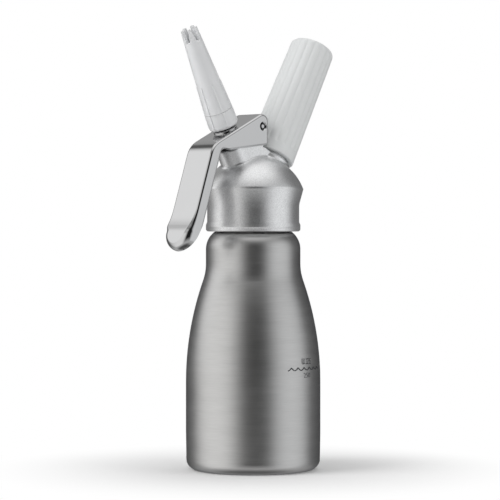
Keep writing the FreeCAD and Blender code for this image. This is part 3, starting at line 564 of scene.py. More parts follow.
def wound_bead(tree, given):
    """Round section wound round Z: a rolled thread, or a spring with closed ends."""
    turns = given["Turns"]
    turned = put(tree, "GeometryNodeSplineParameter")["Factor"] * turns
    foot = maths("MINIMUM", turned, given["Closed Turns"])
    opened = maths("MINIMUM", turned - foot, given["Closed Turns"] * -2.0 + turns)
    head = turned - foot - opened
    climb = opened * given["Pitch"] + (foot + head) * given["Closed Pitch"]
    place = on_circle(turned * FULL_TURN, given["Helix Radius"], climb + given["Start Level"])
    from_end = maths("MINIMUM", turned, turns - turned)
    run_out = maths("MAXIMUM", given["Run Out Turns"], LEAST_RUN_OUT)
    section = put(tree, "GeometryNodeCurvePrimitiveCircle", {
        "Resolution": given["Section Steps"], "Radius": given["Section Radius"],
    })[0]
    return swept(given, turns * given["Steps per Turn"], place, section,
                 ramp(from_end / run_out, RUN_OUT_START, 1.0))


def wound_piece(name, material, body, slot_name, axis, *, radius, section, start, pitch, turns,
                steps, section_steps=12, closed_turns=0.0, closed_pitch=0.0, run_out=0.2):
    """A thread or spring on an axis; the radius and the start are those of its middle line."""
    return finish_piece(name, grown(name, wound_bead, {
        "Helix Radius": radius, "Section Radius": section, "Start Level": start,
        "Pitch": pitch, "Turns": turns, "Closed Turns": closed_turns,
        "Closed Pitch": closed_pitch, "Run Out Turns": run_out, "Steps per Turn": steps,
        "Section Steps": section_steps, "Material": material,
    }), body, axis)


def fluted_shell(tree, given):
    """Turns a half outline round Z and parts its outside into shallow round lobes."""
    outline = given["Geometry"]
    flutes = given["Flutes"]
    rows = put(tree, "GeometryNodeAttributeDomainSize", {"Geometry": outline},
               component="CURVE")["Point Count"]
    sheet = put(tree, "GeometryNodeMeshGrid", {
        "Size X": 1.0, "Size Y": 1.0, "Vertices X": flutes * given["Steps per Flute"] + 1.0,
        "Vertices Y": rows,
    })["Mesh"]
    position = put(tree, "GeometryNodeInputPosition")[0]
    flat = parted(position)
    round_share = flat["X"] + 0.5
    found = parted(put(tree, "GeometryNodeSampleIndex", {
        "Geometry": outline, "Index": maths("ROUND", (flat["Y"] + 0.5) * (rows - 1.0)),
        "Value": position,
    }, data_type="FLOAT_VECTOR", domain="POINT")[0])
    above = found["Z"] - given["Flute Foot"]
    cone = above * given["Taper"] + given["Foot Radius"]
    passed = round_share * flutes
    off_middle = maths("ABSOLUTE", passed - maths("ROUND", passed)) * FULL_TURN / flutes
    across = off_middle * cone / given["Flute Half Width"]
    below = maths("MAXIMUM", above * -1.0 / given["Foot Rounding"], 0.0)
    faded = maths("MAXIMUM", 1.0 - below * below, 0.0)
    pressed = faded * (across * across * given["Flute Depth"])
    radius = maths("MINIMUM", found["X"], cone - pressed)
    turned = put(tree, "GeometryNodeSetPosition", {
        "Geometry": sheet,
        "Position": on_circle(round_share * FULL_TURN + given["Phase"], radius, found["Z"]),
    })[0]
    closed = put(tree, "GeometryNodeMergeByDistance", {"Geometry": turned, "Distance": 1e-6})
    return finished(given, closed[0])


def garland_line(tree, given):
    """Line of pointed crests and round troughs that lies on a cylinder."""
    waves = given["Waves"]
    wave = put(tree, "GeometryNodeSplineParameter")["Factor"] * waves
    angle = (wave - waves / 2.0) * given["Wave Angle"] + given["Centre Angle"]
    swing = maths("SINE", (wave + 0.5) * math.pi)
    level = given["Crest Level"] - maths("ABSOLUTE", swing) * given["Crest Height"]
    section = put(tree, "GeometryNodeCurvePrimitiveQuadrilateral", {
        "Width": given["Line Height"], "Height": given["Line Width"],
    })[0]
    return swept(given, waves * given["Steps per Wave"],
                 on_circle(angle, given["Radius"], level), section)


# ---- settings that a user may change ----
def maker(kind, **fixed):
    """A function that makes properties of one kind."""
    def make(name, description, default):
        return kind(name=name, description=description, default=default, **fixed)
    return make


plain_number = maker(bpy.props.FloatProperty)
whole_number = maker(bpy.props.IntProperty)
words = maker(bpy.props.StringProperty)
length = maker(bpy.props.FloatProperty, unit="LENGTH", precision=5)
radians = maker(bpy.props.FloatProperty, subtype="ANGLE")
share_of_one = maker(bpy.props.FloatProperty, min=0.0, max=1.0, subtype="FACTOR")
opaque_colour = maker(bpy.props.FloatVectorProperty, size=4, min=0.0, max=1.0, subtype="COLOR")


def degrees(name, description, default):
    return radians(name, description, math.radians(default))


def colour(name, description, default):
    return opaque_colour(name, description, (*default[:3], 1.0))


def slot_colour(slot_name):
    """Colour that the record gives a material slot."""
    for entry in frame["record"]["materials"]:
        if entry["slot"] == slot_name:
            return entry["base_color"]
    raise ValueError(f"the record has no slot {slot_name}")


class StageSettings(bpy.types.PropertyGroup):
    camera_azimuth: degrees("Camera Azimuth", "Turn of the camera round the object", -43.0)
    camera_distance: length("Camera Distance", "From the bottle's axis to the camera", 1.3)
    camera_height: length("Camera Height", "Height of the camera over the floor", 0.13832)
    camera_lens: plain_number("Camera Lens", "Focal length in millimetres", 164.44)
    floor_radius: length("Floor Radius", "Radius of the floor", 3.0)
    floor_colour: colour("Floor Colour", "Pale floor", (0.93, 0.93, 0.93))
    ambient: plain_number("Ambient", "Level of the even light from all round", 0.38)


class BottleSettings(bpy.types.PropertyGroup):
    steel: colour("Steel", "Drawn and brushed steel", (0.58, 0.578, 0.573))
    roughness: share_of_one("Roughness", "Roughness of the brushed steel", 0.37)
    thread_section: length("Thread Section", "Radius of the rolled thread's section", 0.001)
    thread_turns: plain_number("Thread Turns", "Turns of thread on the neck", 2.4)


class MarkSettings(bpy.types.PropertyGroup):
    centre_angle: degrees("Centre Angle", "Where the mark stands round the bottle", -81.0)
    crest_level: length("Crest Level", "Height of the fill line's crests", 0.0594)
    crest_height: length("Crest Height", "From trough to crest", 0.00155)
    wave_angle: degrees("Wave Angle", "Angle of one wave round the bottle", 7.15)
    waves: whole_number("Waves", "Waves in the line", 6)
    line_width: length("Line Width", "Width of the line", 0.0005)
    upper_number: words("Upper Number", "Number over the line, in litres", "0.25")
    lower_number: words("Lower Number", "Number under the line, in millilitres", "250")
    ink: colour("Ink", "Colour of the mark", (0.05, 0.051, 0.055))


class HeadSettings(bpy.types.PropertyGroup):
    aluminium: colour("Aluminium", "Blasted cast aluminium", (0.85, 0.855, 0.86))
    roughness: share_of_one("Roughness", "Roughness of the blasted skin", 0.38)
    thread_turns: plain_number("Thread Turns", "Turns of thread inside the skirt", 2.2)


class LeverSettings(bpy.types.PropertyGroup):
    steel: colour("Lever Steel", "Pressed and satin-polished steel", (0.575, 0.576, 0.579))
    roughness: share_of_one("Roughness", "Roughness of the polished lever", 0.07)
    pin: colour("Pin Steel", "Ground steel of the pin", slot_colour("pin_steel"))


class ValveSettings(bpy.types.PropertyGroup):
    steel: colour("Valve Steel", "Turned steel of stem, nut and collar", slot_colour("valve_steel"))
    spring: colour("Spring Steel", "Drawn wire", slot_colour("spring_steel"))
    spring_turns: plain_number("Spring Turns", "All turns of the spring, ends included", 6.5)
    closed_turns: plain_number("Closed Turns", "Closed turns at each end", 1.0)
    wire_radius: length("Wire Radius", "Radius of the spring's wire", 0.0006)


class NozzleSettings(bpy.types.PropertyGroup):
    plastic: colour("Nozzle Plastic", "Glossy moulded plastic", (0.745, 0.752, 0.762))
    roughness: share_of_one("Roughness", "Roughness of the plastic", 0.24)
    thread_section: length("Thread Section", "Radius of the moulded thread's section", 0.0004)


class HolderSettings(bpy.types.PropertyGroup):
    plastic: colour("Holder Plastic", "Satin moulded plastic", (0.74, 0.755, 0.755))
    roughness: share_of_one("Roughness", "Roughness of the plastic", 0.36)
    flutes: whole_number("Flutes", "Flutes round the holder", 18)
    flute_depth: length("Flute Depth", "Depth of a flute at its middle", 0.00045)
    flute_foot: length("Flute Foot", "Level along the axis where the flutes end", 0.0346)
    foot_rounding: length("Foot Rounding", "Length of a flute's rounded end", 0.0022)
    flute_phase: degrees("Flute Phase", "Turn of the first flute", 2.5)
    wall: length("Wall", "Thickness of the holder's closed end", 0.0026)
    cell_radius: length("Cell Radius", "Inside radius round the charger", 0.0095)


class ChargerSettings(bpy.types.PropertyGroup):
    steel: colour("Charger Steel", "Plated steel", slot_colour("charger_steel"))
    brass: colour("Housing Brass", "Turned brass", slot_colour("housing_brass"))
    bronze: colour("Filter Bronze", "Sintered bronze", slot_colour("filter_bronze"))


class SealSettings(bpy.types.PropertyGroup):
    silicone: colour("Silicone", "Silicone of the head gasket", slot_colour("silicone"))
    rubber: colour("Rubber", "Black rubber", slot_colour("seal_rubber"))


SETTINGS = {
    "dispenser_stage": StageSettings,
    "dispenser_bottle": BottleSettings,
    "dispenser_mark": MarkSettings,
    "dispenser_head": HeadSettings,
    "dispenser_lever": LeverSettings,
    "dispenser_valve": ValveSettings,
    "dispenser_nozzle": NozzleSettings,
    "dispenser_holder": HolderSettings,
    "dispenser_charger": ChargerSettings,
    "dispenser_seals": SealSettings,
}


# ---- stage ----
def facing(azimuth, elevation=0.0):
    """Direction given by degrees round from the camera's side (+ is to its right) and up."""
    settings = bpy.context.scene.dispenser_stage
    turn = settings.camera_azimuth + math.radians(azimuth)
    rise = math.radians(elevation)
    return Vector((math.sin(turn) * math.cos(rise), -math.cos(turn) * math.cos(rise),
                   math.sin(rise)))


# Tall soft boxes of the studio that polished and glossy surfaces reflect: degrees round from
# the camera, the half widths in degrees where the box is full and where it ends, its level,
# and its colour.
TALL_BOXES = (
    (-69, 2, 58, 1.06, (1.0, 0.997, 0.99)),
    (69, 2, 49, 0.90, (0.98, 0.99, 1.0)),
)
# Degrees up where the tall boxes start and are full, and where they end and are still full.
TALL_BOX_FOOT = (-62.0, -34.0)
TALL_BOX_HEAD = (58.0, 24.0)
# Round soft boxes: degrees round, degrees up, the two half widths and the level.
ROUND_BOXES = (
    (0, 86, 10, 55, 1.12),
    (-100, 22, 10, 33, 1.14),
    (-166, 38, 10, 26, 0.43),
)
# Levels of the room, and the cosines or sines of the directions between which they change.
ROOM_LEVEL = 0.018
BACK_LEVEL = 0.15
BACK_REACH = (0.2, -0.8)
BELOW_LEVEL = 0.60
BELOW_REACH = (-0.05, -0.8)
STRAIGHT_DOWN_LEVEL = 0.10
STRAIGHT_DOWN_REACH = (-0.72, -0.97)
# Light that has gone to and fro between the pieces, by how many reflections it has at least.
# It has the second level near the rise of BETWEEN_PIECES_RISE and the first one far from it.
BETWEEN_PIECES_DEPTH = 2.5
BETWEEN_PIECES_LEVELS = (0.5, 1.6)
BETWEEN_PIECES_RISE = -0.2
BETWEEN_PIECES_REACH = (0.5, 0.3)


def sine(angle):
    """Sine of an angle in degrees."""
    return math.sin(math.radians(angle))


def cosine(angle):
    """Cosine of an angle in degrees."""
    return math.cos(math.radians(angle))


def soft_box(ray, direction, inner, outer, level):
    """Level that a soft box shows along a ray, by its half widths in degrees."""
    seen = vectors("DOT_PRODUCT", ray, tuple(direction))
    return ramp(seen, cosine(outer), cosine(inner), 0.0, level)


def studio_light(ray):
    """Colour that the studio shows along a ray."""
    level_ray = vectors("NORMALIZE", vectors("MULTIPLY", ray, (1.0, 1.0, 0.0)))
    rise = parted(ray)["Z"]
    ahead = vectors("DOT_PRODUCT", level_ray, tuple(facing(0)))
    straight_down = STRAIGHT_DOWN_LEVEL / BELOW_LEVEL
    table = (ramp(rise, *BELOW_REACH, 0.0, BELOW_LEVEL)
             * ramp(rise, *STRAIGHT_DOWN_REACH, 1.0, straight_down))
    room = maths("MAXIMUM", ramp(ahead, *BACK_REACH, ROOM_LEVEL, BACK_LEVEL), table)
    light = combined(room, room, room)
    tall = ramp(rise, *map(sine, TALL_BOX_FOOT)) * ramp(rise, *map(sine, TALL_BOX_HEAD))
    for azimuth, inner, outer, level, tint in TALL_BOXES:
        glow = tall * soft_box(level_ray, facing(azimuth), inner, outer, level)
        light = vectors("MAXIMUM", light, scaled(tint, glow))
    for azimuth, elevation, inner, outer, level in ROUND_BOXES:
        glow = soft_box(ray, facing(azimuth, elevation), inner, outer, level)
        light = vectors("MAXIMUM", light, scaled(WHITE[:3], glow))
    return light


def make_world():
    """White to the camera, a soft studio in reflections, and an even light elsewhere."""
    settings = bpy.context.scene.dispenser_stage
    world = bpy.data.worlds.new("studio")
    world.use_nodes = True
    tree = world.node_tree
    tree.nodes.clear()
    ray = put(tree, "ShaderNodeTexCoord")["Generated"]
    path = put(tree, "ShaderNodeLightPath")
    off_level = maths("ABSOLUTE", parted(ray)["Z"] - BETWEEN_PIECES_RISE)
    between = (ramp(off_level, *BETWEEN_PIECES_REACH, *BETWEEN_PIECES_LEVELS)
               * maths("GREATER_THAN", path["Glossy Depth"], BETWEEN_PIECES_DEPTH))
    light = vectors("MAXIMUM", studio_light(ray), between)
    lit = mixed(path["Is Glossy Ray"], (settings.ambient,) * 3 + (1.0,), light)
    open_view = maths("MAXIMUM", path["Is Camera Ray"], path["Is Transmission Ray"])
    background = put(tree, "ShaderNodeBackground", {"Color": mixed(open_view, lit, WHITE)})[0]
    fill(tree.nodes.new("ShaderNodeOutputWorld").inputs, {"Surface": background})
    bpy.context.scene.world = world


# Where the floor starts to turn plain white, and where it is white.
FLOOR_CLEARING = (0.045, 0.16)


def make_floor():
    """Pale floor that is plain white away from the object and keeps its shadow."""
    settings = bpy.context.scene.dispenser_stage
    shell = bmesh.new()
    bmesh.ops.create_circle(shell, cap_ends=True, segments=128, radius=settings.floor_radius)
    mesh = bpy.data.meshes.new("floor")
    shell.to_mesh(mesh)
    shell.free()
    material, tree, shader = start_finish("pale_floor", Roughness=0.8,
                                          Base_Color=settings.floor_colour)
    away = ramp(vectors("LENGTH", object_coordinates(tree)), *FLOOR_CLEARING)
    seen = put(tree, "ShaderNodeLightPath")["Is Camera Ray"]
    white = put(tree, "ShaderNodeEmission", {"Color": WHITE})[0]
    blend = put(tree, "ShaderNodeMixShader", {
        0: away * seen, 1: Value(shader.outputs["BSDF"]), 2: white,
    })[0]
    output = next(node for node in tree.nodes if node.type == "OUTPUT_MATERIAL")
    fill(output.inputs, {"Surface": blend})
    mesh.materials.append(material)
    floor = add_object("floor", mesh)
    floor.visible_glossy = False


# Lamps: name, degrees round from the camera, degrees up, distance, size and power in watts.
LAMPS = (
    ("key_lamp", -62, 34, 1.1, 0.8, 6.6),
    ("fill_lamp", 66, 24, 1.2, 0.8, 3.2),
    ("top_lamp", 150, 72, 1.1, 0.9, 3.0),
)


def make_lamps():
    """Large soft lamps at a plain level; reflections see the soft boxes instead."""
    lo, hi = CAD_BOX
    centre = (lo + hi) / 2
    for name, azimuth, elevation, distance, size, power in LAMPS:
        data = bpy.data.lights.new(name, "AREA")
        data.shape = "DISK"
        data.size = size
        data.energy = power
        lamp = add_object(name, data)
        towards = facing(azimuth, elevation)
        lamp.location = centre + towards * distance
        lamp.rotation_euler = towards.to_track_quat("Z", "Y").to_euler()
        lamp.visible_glossy = False
        lamp.visible_camera = False


CAMERA_SENSOR = 36.0  # millimetres
CAMERA_SHIFT_X = -0.0063
CAMERA_SHIFT_Y = -0.048


def make_camera():
    """Level camera at the height of the bottle's neck."""
    settings = bpy.context.scene.dispenser_stage
    data = bpy.data.cameras.new("camera")
    data.lens = settings.camera_lens
    data.sensor_width = CAMERA_SENSOR
    data.shift_x = CAMERA_SHIFT_X
    data.shift_y = CAMERA_SHIFT_Y
    camera = add_object("camera", data)
    camera.location = facing(0) * settings.camera_distance
    camera.location.z = settings.camera_height
    camera.rotation_euler = (math.pi / 2, 0.0, settings.camera_azimuth)
    bpy.context.scene.camera = camera


class DISPENSER_OT_stage(bpy.types.Operator):
    """Sets up the pale floor, the soft studio light and the camera."""

    bl_idname = "dispenser.stage"
    bl_label = "Stage"

    def execute(self, context):
        context.scene.view_settings.view_transform = "Standard"
        make_world()
        make_floor()
        make_lamps()
        make_camera()
        return {"FINISHED"}


# ---- bottle ----
# How far the middle of a thread's section lies inside its wall, as a share of the section's
# radius.
THREAD_SINK = 0.6
NECK_THREAD_SINK = -0.1
SKIRT_THREAD_SINK = -0.05

NECK_RADIUS = 0.0212
NECK_THREAD_LEVEL = 0.1385
HEAD_THREAD = {"pitch": thread_pitch("head_rise", "head_turn"), "steps": 96}


class DISPENSER_OT_bottle(bpy.types.Operator):
    """Brushes the drawn bottle and rolls the thread on its neck."""

    bl_idname = "dispenser.bottle"
    bl_label = "Bottle"

    def execute(self, context):
        settings = context.scene.dispenser_bottle
        steel = brushed_steel("brushed_bottle_steel", settings.steel, settings.roughness,
                              gap=0.0006, run=0.012, depth=8e-7, spread=0.02, tint=0.08,
                              Specular_Tint=(0.35, 0.36, 0.38, 1.0))
        dress("bottle_body", steel)
        section = settings.thread_section
        wound_piece("neck_thread", steel, "bottle", "bottle_steel", UPRIGHT,
                    radius=NECK_RADIUS - NECK_THREAD_SINK * section, section=section,
                    start=NECK_THREAD_LEVEL, turns=settings.thread_turns, **HEAD_THREAD)
        return {"FINISHED"}


# ---- fill mark ----
MARK_PROUD = 0.01 * MM
MARK_SINK = 0.02 * MM
UPPER_NUMBER_SIZE = 4.8 * MM
UPPER_NUMBER_LIFT = 1.75 * MM
LOWER_NUMBER_SIZE = 4.0 * MM
LOWER_NUMBER_DROP = 5.8 * MM
NUMBER_THINNING = 0.04 * MM
NUMBER_CURVE_STEPS = 4
BARREL_REACH = 30 * MM
WAVE_STEPS = 24


def number_on_barrel(name, text, size, foot_level, radius, angle, material):
    """A number wrapped on the barrel as a thin closed solid."""
    font = bpy.data.curves.new(name, "FONT")
    font.body = text
    font.size = size
    font.align_x = "CENTER"
    font.extrude = (MARK_PROUD + MARK_SINK) / 2
    font.offset = -NUMBER_THINNING
    font.resolution_u = NUMBER_CURVE_STEPS
    source = add_object(name + "_seed", font)
    mesh = plain_mesh(name, source)
    bpy.data.objects.remove(source)
    middle = radius + (MARK_PROUD - MARK_SINK) / 2
    for vertex in mesh.vertices:
        across, up, out = vertex.co
        turn = angle + across / radius
        reach = middle + out
        vertex.co = (reach * math.cos(turn), reach * math.sin(turn), foot_level + up)
    mesh.materials.clear()
    mesh.materials.append(material)
    finish_piece(name, mesh, "bottle")


class DISPENSER_OT_fill_mark(bpy.types.Operator):
    """Marks the fill line and its plain numbers on the barrel."""

    bl_idname = "dispenser.fill_mark"
    bl_label = "Fill Mark"

    def execute(self, context):
        settings = context.scene.dispenser_mark
        ink = mark_ink("burnt_mark", settings.ink)
        crests = settings.crest_level
        barrel = UPRIGHT.radius_near("bottle_body", crests, BARREL_REACH)
        line = grown("fill_line", garland_line, {
            "Radius": barrel + (MARK_PROUD - MARK_SINK) / 2,
            "Crest Level": crests,
            "Crest Height": settings.crest_height,
            "Waves": settings.waves,
            "Steps per Wave": WAVE_STEPS,
            "Wave Angle": settings.wave_angle,
            "Centre Angle": settings.centre_angle,
            "Line Width": settings.line_width,
            "Line Height": MARK_PROUD + MARK_SINK,
            "Material": ink,
        })
        finish_piece("fill_line", line, "bottle")
        for name, text, size, foot in (
                ("upper_number", settings.upper_number, UPPER_NUMBER_SIZE,
                 crests + UPPER_NUMBER_LIFT),
                ("lower_number", settings.lower_number, LOWER_NUMBER_SIZE,
                 crests - LOWER_NUMBER_DROP)):
            number_on_barrel(name, text, size, foot, barrel, settings.centre_angle, ink)
        return {"FINISHED"}


# ---- head ----
SKIRT_BORE_RADIUS = 0.0226
SKIRT_THREAD_LEVEL = 0.1407
CHARGER_SPIGOT_RADIUS = 0.0109
CHARGER_THREAD_START = 27.6 * MM
CHARGER_THREAD = {
    "section": 0.5 * MM, "pitch": thread_pitch("charger_rise", "holder_turn"), "turns": 2.4,
    "steps": 64,
}
CHARGER_THREAD_SINK = THREAD_SINK * CHARGER_THREAD["section"]

# The head's finish bends only its shading along the skirt, and the mesh stays as it is. In the
# shading the flare is softer, the lip has a light band, the neck step over it is flatter, and
# a crease runs under the dome. Each row holds the heights over the floor, in millimetres,
# between which the slope changes, and by how much it changes.
FLARE_SLOPE = 0.273
CREASE_SLOPE = 0.21
LIP_SLOPE = 0.38
EDGE_SLOPE = 0.45
NECK_SLOPE = 0.45
SKIRT_CURVES = (
    (134.0, 134.5, -EDGE_SLOPE),
    (135.9, 136.8, EDGE_SLOPE + LIP_SLOPE),
    (137.7, 138.0, -LIP_SLOPE),
    (138.5, 139.3, NECK_SLOPE),
    (140.2, 141.0, -NECK_SLOPE),
    (146.5, 159.2, FLARE_SLOPE),
    (149.2, 151.6, -FLARE_SLOPE),
    (159.2, 159.3, CREASE_SLOPE),
    (160.0, 160.5, -CREASE_SLOPE),
)


def opening_out(level, start, end):
    """Height in millimetres of a line that starts upright and then leans out by one in one."""
    inside = put(level.tree, "ShaderNodeClamp", {
        "Value": level - start, "Min": 0.0, "Max": end - start,
    })["Result"]
    curved = maths("POWER", inside, 2.0) * (0.5 / (end - start))
    return curved + maths("MAXIMUM", level - end, 0.0)


def skirt_relief(place):
    """Height in millimetres by which the head's finish bends the skirt's shading."""
    level = parted(place)["Z"] * (1.0 / MM)
    height = 0.0
    for start, end, slope in SKIRT_CURVES:
        height = opening_out(level, start, end) * slope + height
    return height


class DISPENSER_OT_head(bpy.types.Operator):
    """Blasts the cast head and cuts its threads."""

    bl_idname = "dispenser.head"
    bl_label = "Head"

    def execute(self, context):
        settings = context.scene.dispenser_head
        skin = grained_skin("blasted_aluminium", settings.aluminium, settings.roughness,
                            grain=0.0006, depth=3e-5, spread=0.02, tint=0.02, speckle=0.17,
                            relief=skirt_relief, Metallic=1.0)
        dress("head_casting", skin)
        section = context.scene.dispenser_bottle.thread_section
        wound_piece("skirt_thread", skin, "head", "cast_aluminium", UPRIGHT,
                    radius=SKIRT_BORE_RADIUS + SKIRT_THREAD_SINK * section, section=section,
                    start=SKIRT_THREAD_LEVEL, turns=settings.thread_turns, **HEAD_THREAD)
        wound_piece("charger_spigot_thread", skin, "head", "cast_aluminium", CHARGER_AXIS,
                    radius=CHARGER_SPIGOT_RADIUS - CHARGER_THREAD_SINK,
                    start=CHARGER_THREAD_START, **CHARGER_THREAD)
        return {"FINISHED"}


# ---- lever ----
PIN_RADIUS = 1.95 * MM
# Near-black painted shade for the ring round each pin end, where the gap to the lever's cheek lies in shadow.
PIN_PAINTED_SHADE_COLOUR = (0.02, 0.02, 0.022, 1.0)


class DISPENSER_OT_lever(bpy.types.Operator):
    """Polishes the pressed lever and its pin."""

    bl_idname = "dispenser.lever"
    bl_label = "Lever"

    def execute(self, context):
        settings = context.scene.dispenser_lever
        dress("lever", grained_skin("pressed_lever_steel", settings.steel, settings.roughness,
                                    grain=0.0005, depth=5e-7, spread=0.02, tint=0.02,
                                    Metallic=1.0))
        dress("lever_pin", turned_pin_ends("ground_pin_steel", settings.pin, PIN_RADIUS,
                                           PIN_PAINTED_SHADE_COLOUR))
        return {"FINISHED"}


# ---- valve ----
CLOSED_GAP = 1.01  # pitch of the closed turns over the wire's thickness
SPRING_STEPS = 64
WIRE_STEPS = 16


class DISPENSER_OT_valve(bpy.types.Operator):
    """Finishes the valve's turned pieces and winds its spring."""

    bl_idname = "dispenser.valve"
    bl_label = "Valve"

    def execute(self, context):
        settings = context.scene.dispenser_valve
        turned = brushed_steel("turned_valve_steel", settings.steel, roughness=0.24,
                               gap=0.00018, run=0.006, depth=1.2e-6, axis=NOZZLE_AXIS)
        for node in ("valve_stem", "valve_nut", "spring_collar"):
            dress(node, turned)
        wire = brushed_steel("drawn_spring_wire", settings.spring, roughness=0.26,
                             gap=0.00012, run=0.003, depth=1e-6, axis=NOZZLE_AXIS)
        dress("spring_washer", wire)
        low, high = NOZZLE_AXIS.span("valve_spring")
        radius = NOZZLE_AXIS.radius_near("valve_spring", (low + high) / 2, high - low)
        thickness = 2 * settings.wire_radius
        closed = settings.closed_turns
        closed_pitch = CLOSED_GAP * thickness
        travel = high - low - thickness - 2 * closed * closed_pitch
        spring = wound_piece("wound_valve_spring", wire, "head", "spring_steel", NOZZLE_AXIS,
                             radius=radius - settings.wire_radius, section=settings.wire_radius,
                             start=low + settings.wire_radius,
                             pitch=travel / (settings.spring_turns - 2 * closed),
                             turns=settings.spring_turns, closed_turns=closed,
                             closed_pitch=closed_pitch, steps=SPRING_STEPS,
                             section_steps=WIRE_STEPS, run_out=0.0)
        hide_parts("valve_spring")
        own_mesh(spring)
        return {"FINISHED"}


# ---- nozzle ----
NOZZLE_THREAD_TURNS = 2.2
NOZZLE_THREAD_LIFT = 0.9 * MM
NOZZLE_THREAD_STEPS = 48
NOZZLE_THREAD_RUN_OUT = 0.25
NOZZLE_SPIGOT_RADIUS = 6.0 * MM


class DISPENSER_OT_nozzle(bpy.types.Operator):
    """Moulds the nozzle and its adaptor in glossy plastic."""

    bl_idname = "dispenser.nozzle"
    bl_label = "Nozzle"

    def execute(self, context):
        settings = context.scene.dispenser_nozzle
        plastic = grained_skin("glossy_nozzle_plastic", settings.plastic, settings.roughness,
                               grain=0.0012, depth=1e-6, spread=0.02, tint=0.01,
                               IOR=1.49, Specular_IOR_Level=0.9, Subsurface_Weight=0.35,
                               Subsurface_Scale=2.5 * MM, Subsurface_Radius=(1.0, 1.0, 1.0))
        dress("nozzle_adaptor", plastic)
        dress("decorating_nozzle", plastic)
        seam = NOZZLE_AXIS.span("decorating_nozzle")[0]
        section = settings.thread_section
        wound_piece("adaptor_spigot_thread", plastic, "valve", "nozzle_plastic", NOZZLE_AXIS,
                    radius=NOZZLE_SPIGOT_RADIUS - THREAD_SINK * section, section=section,
                    start=seam + NOZZLE_THREAD_LIFT,
                    pitch=thread_pitch("nozzle_rise", "nozzle_turn"), turns=NOZZLE_THREAD_TURNS,
                    steps=NOZZLE_THREAD_STEPS, run_out=NOZZLE_THREAD_RUN_OUT)
        return {"FINISHED"}


# ---- holder ----
HOLDER_MOUTH_EDGE = 1.0 * MM
HOLDER_TOP_EDGE = 2.6 * MM
HOLDER_BORE_RADIUS = 11.2 * MM
HOLDER_BORE_EDGE = 0.4 * MM
HOLDER_THREAD_DEPTH = 12.0 * MM
HOLDER_CELL_SLOPE = 1.5 * MM
HOLDER_CELL_EDGE = 2.0 * MM
FLUTE_FOOT_ROWS = 10
FLUTE_FOOT_OVERLAP = 0.2 * MM
FLUTE_FOOT_EXTRA = 0.3 * MM
ROUNDING_STEPS = 7
FLUTE_STEPS = 14


def rounded_outline(corners):
    """(radius, level) points of an open outline through (radius, level, rounding) corners."""
    points = []
    for index, (radius, level, rounding) in enumerate(corners):
        here = Vector((radius, level))
        if not rounding:
            points.append(here)
            continue
        back = (Vector(corners[index - 1][:2]) - here).normalized()
        ahead = (Vector(corners[index + 1][:2]) - here).normalized()
        half = back.angle(ahead) / 2
        reach = rounding / math.tan(half)
        start = here + back * reach
        end = here + ahead * reach
        middle = here + (back + ahead).normalized() * (rounding / math.sin(half))
        for step in range(ROUNDING_STEPS + 1):
            chord = start.lerp(end, step / ROUNDING_STEPS) - middle
            points.append(middle + chord.normalized() * rounding)
    return points


def outline_curve(name, points):
    """Curve in the XZ plane through (radius, level) points."""
    data = bpy.data.curves.new(name, "CURVE")
    data.dimensions = "3D"
    spline = data.splines.new("POLY")
    spline.points.add(len(points) - 1)
    for entry, point in zip(spline.points, points):
        entry.co = (point.x, 0.0, point.y, 1.0)
    return data


def holder_outline(settings, mouth, top, mouth_radius, top_radius):
    """Half outline of the holder, from the middle of its closed end round to the inside."""
    taper = (top_radius - mouth_radius) / (top - mouth)
    foot_top = settings.flute_foot + FLUTE_FOOT_OVERLAP
    foot_length = settings.foot_rounding + FLUTE_FOOT_EXTRA
    levels = [foot_top - row / FLUTE_FOOT_ROWS * foot_length for row in range(FLUTE_FOOT_ROWS + 1)]
    thread_top = mouth + HOLDER_THREAD_DEPTH
    cell_top = top - settings.wall
    return rounded_outline([
        (0, top, 0),
        (top_radius, top, HOLDER_TOP_EDGE),
        *((mouth_radius + taper * (level - mouth), level, 0) for level in levels),
        (mouth_radius, mouth, HOLDER_MOUTH_EDGE),
        (HOLDER_BORE_RADIUS, mouth, HOLDER_BORE_EDGE),
        (HOLDER_BORE_RADIUS, thread_top, 0),
        (settings.cell_radius, thread_top + HOLDER_CELL_SLOPE, 0),
        (settings.cell_radius, cell_top, HOLDER_CELL_EDGE),
        (0, cell_top, 0),
    ])


class DISPENSER_OT_holder(bpy.types.Operator):
    """Moulds the fluted charger holder in satin plastic."""

    bl_idname = "dispenser.holder"
    bl_label = "Holder"

    def execute(self, context):
        settings = context.scene.dispenser_holder
        plastic = grained_skin("satin_holder_plastic", settings.plastic, settings.roughness,
                               grain=0.0006, depth=5e-6, tint=0.015, IOR=1.49)
        mouth, top = CHARGER_AXIS.span("charger_holder")
        mouth_radius = CHARGER_AXIS.radius_near("charger_holder", mouth, 2 * HOLDER_MOUTH_EDGE)
        top_radius = CHARGER_AXIS.radius_near("charger_holder", top, 1.5 * HOLDER_TOP_EDGE)
        taper = (top_radius - mouth_radius) / (top - mouth)
        outline = holder_outline(settings, mouth, top, mouth_radius, top_radius)
        mesh = grown("fluted_holder", fluted_shell, {
            "Flutes": settings.flutes,
            "Steps per Flute": FLUTE_STEPS,
            "Flute Depth": settings.flute_depth,
            "Flute Half Width": math.pi * top_radius / settings.flutes,
            "Flute Foot": settings.flute_foot,
            "Foot Rounding": settings.foot_rounding,
            "Foot Radius": mouth_radius + taper * (settings.flute_foot - mouth),
            "Taper": taper,
            "Phase": settings.flute_phase,
            "Material": plastic,
        }, outline_curve("holder_outline", outline))
        holder = finish_piece("fluted_holder", mesh, "holder", CHARGER_AXIS)
        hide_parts("charger_holder")
        wound_piece("holder_thread", plastic, "holder", "holder_plastic", CHARGER_AXIS,
                    radius=HOLDER_BORE_RADIUS + CHARGER_THREAD_SINK,
                    start=CHARGER_THREAD_START + CHARGER_THREAD["pitch"] / 2, **CHARGER_THREAD)
        return {"FINISHED"}


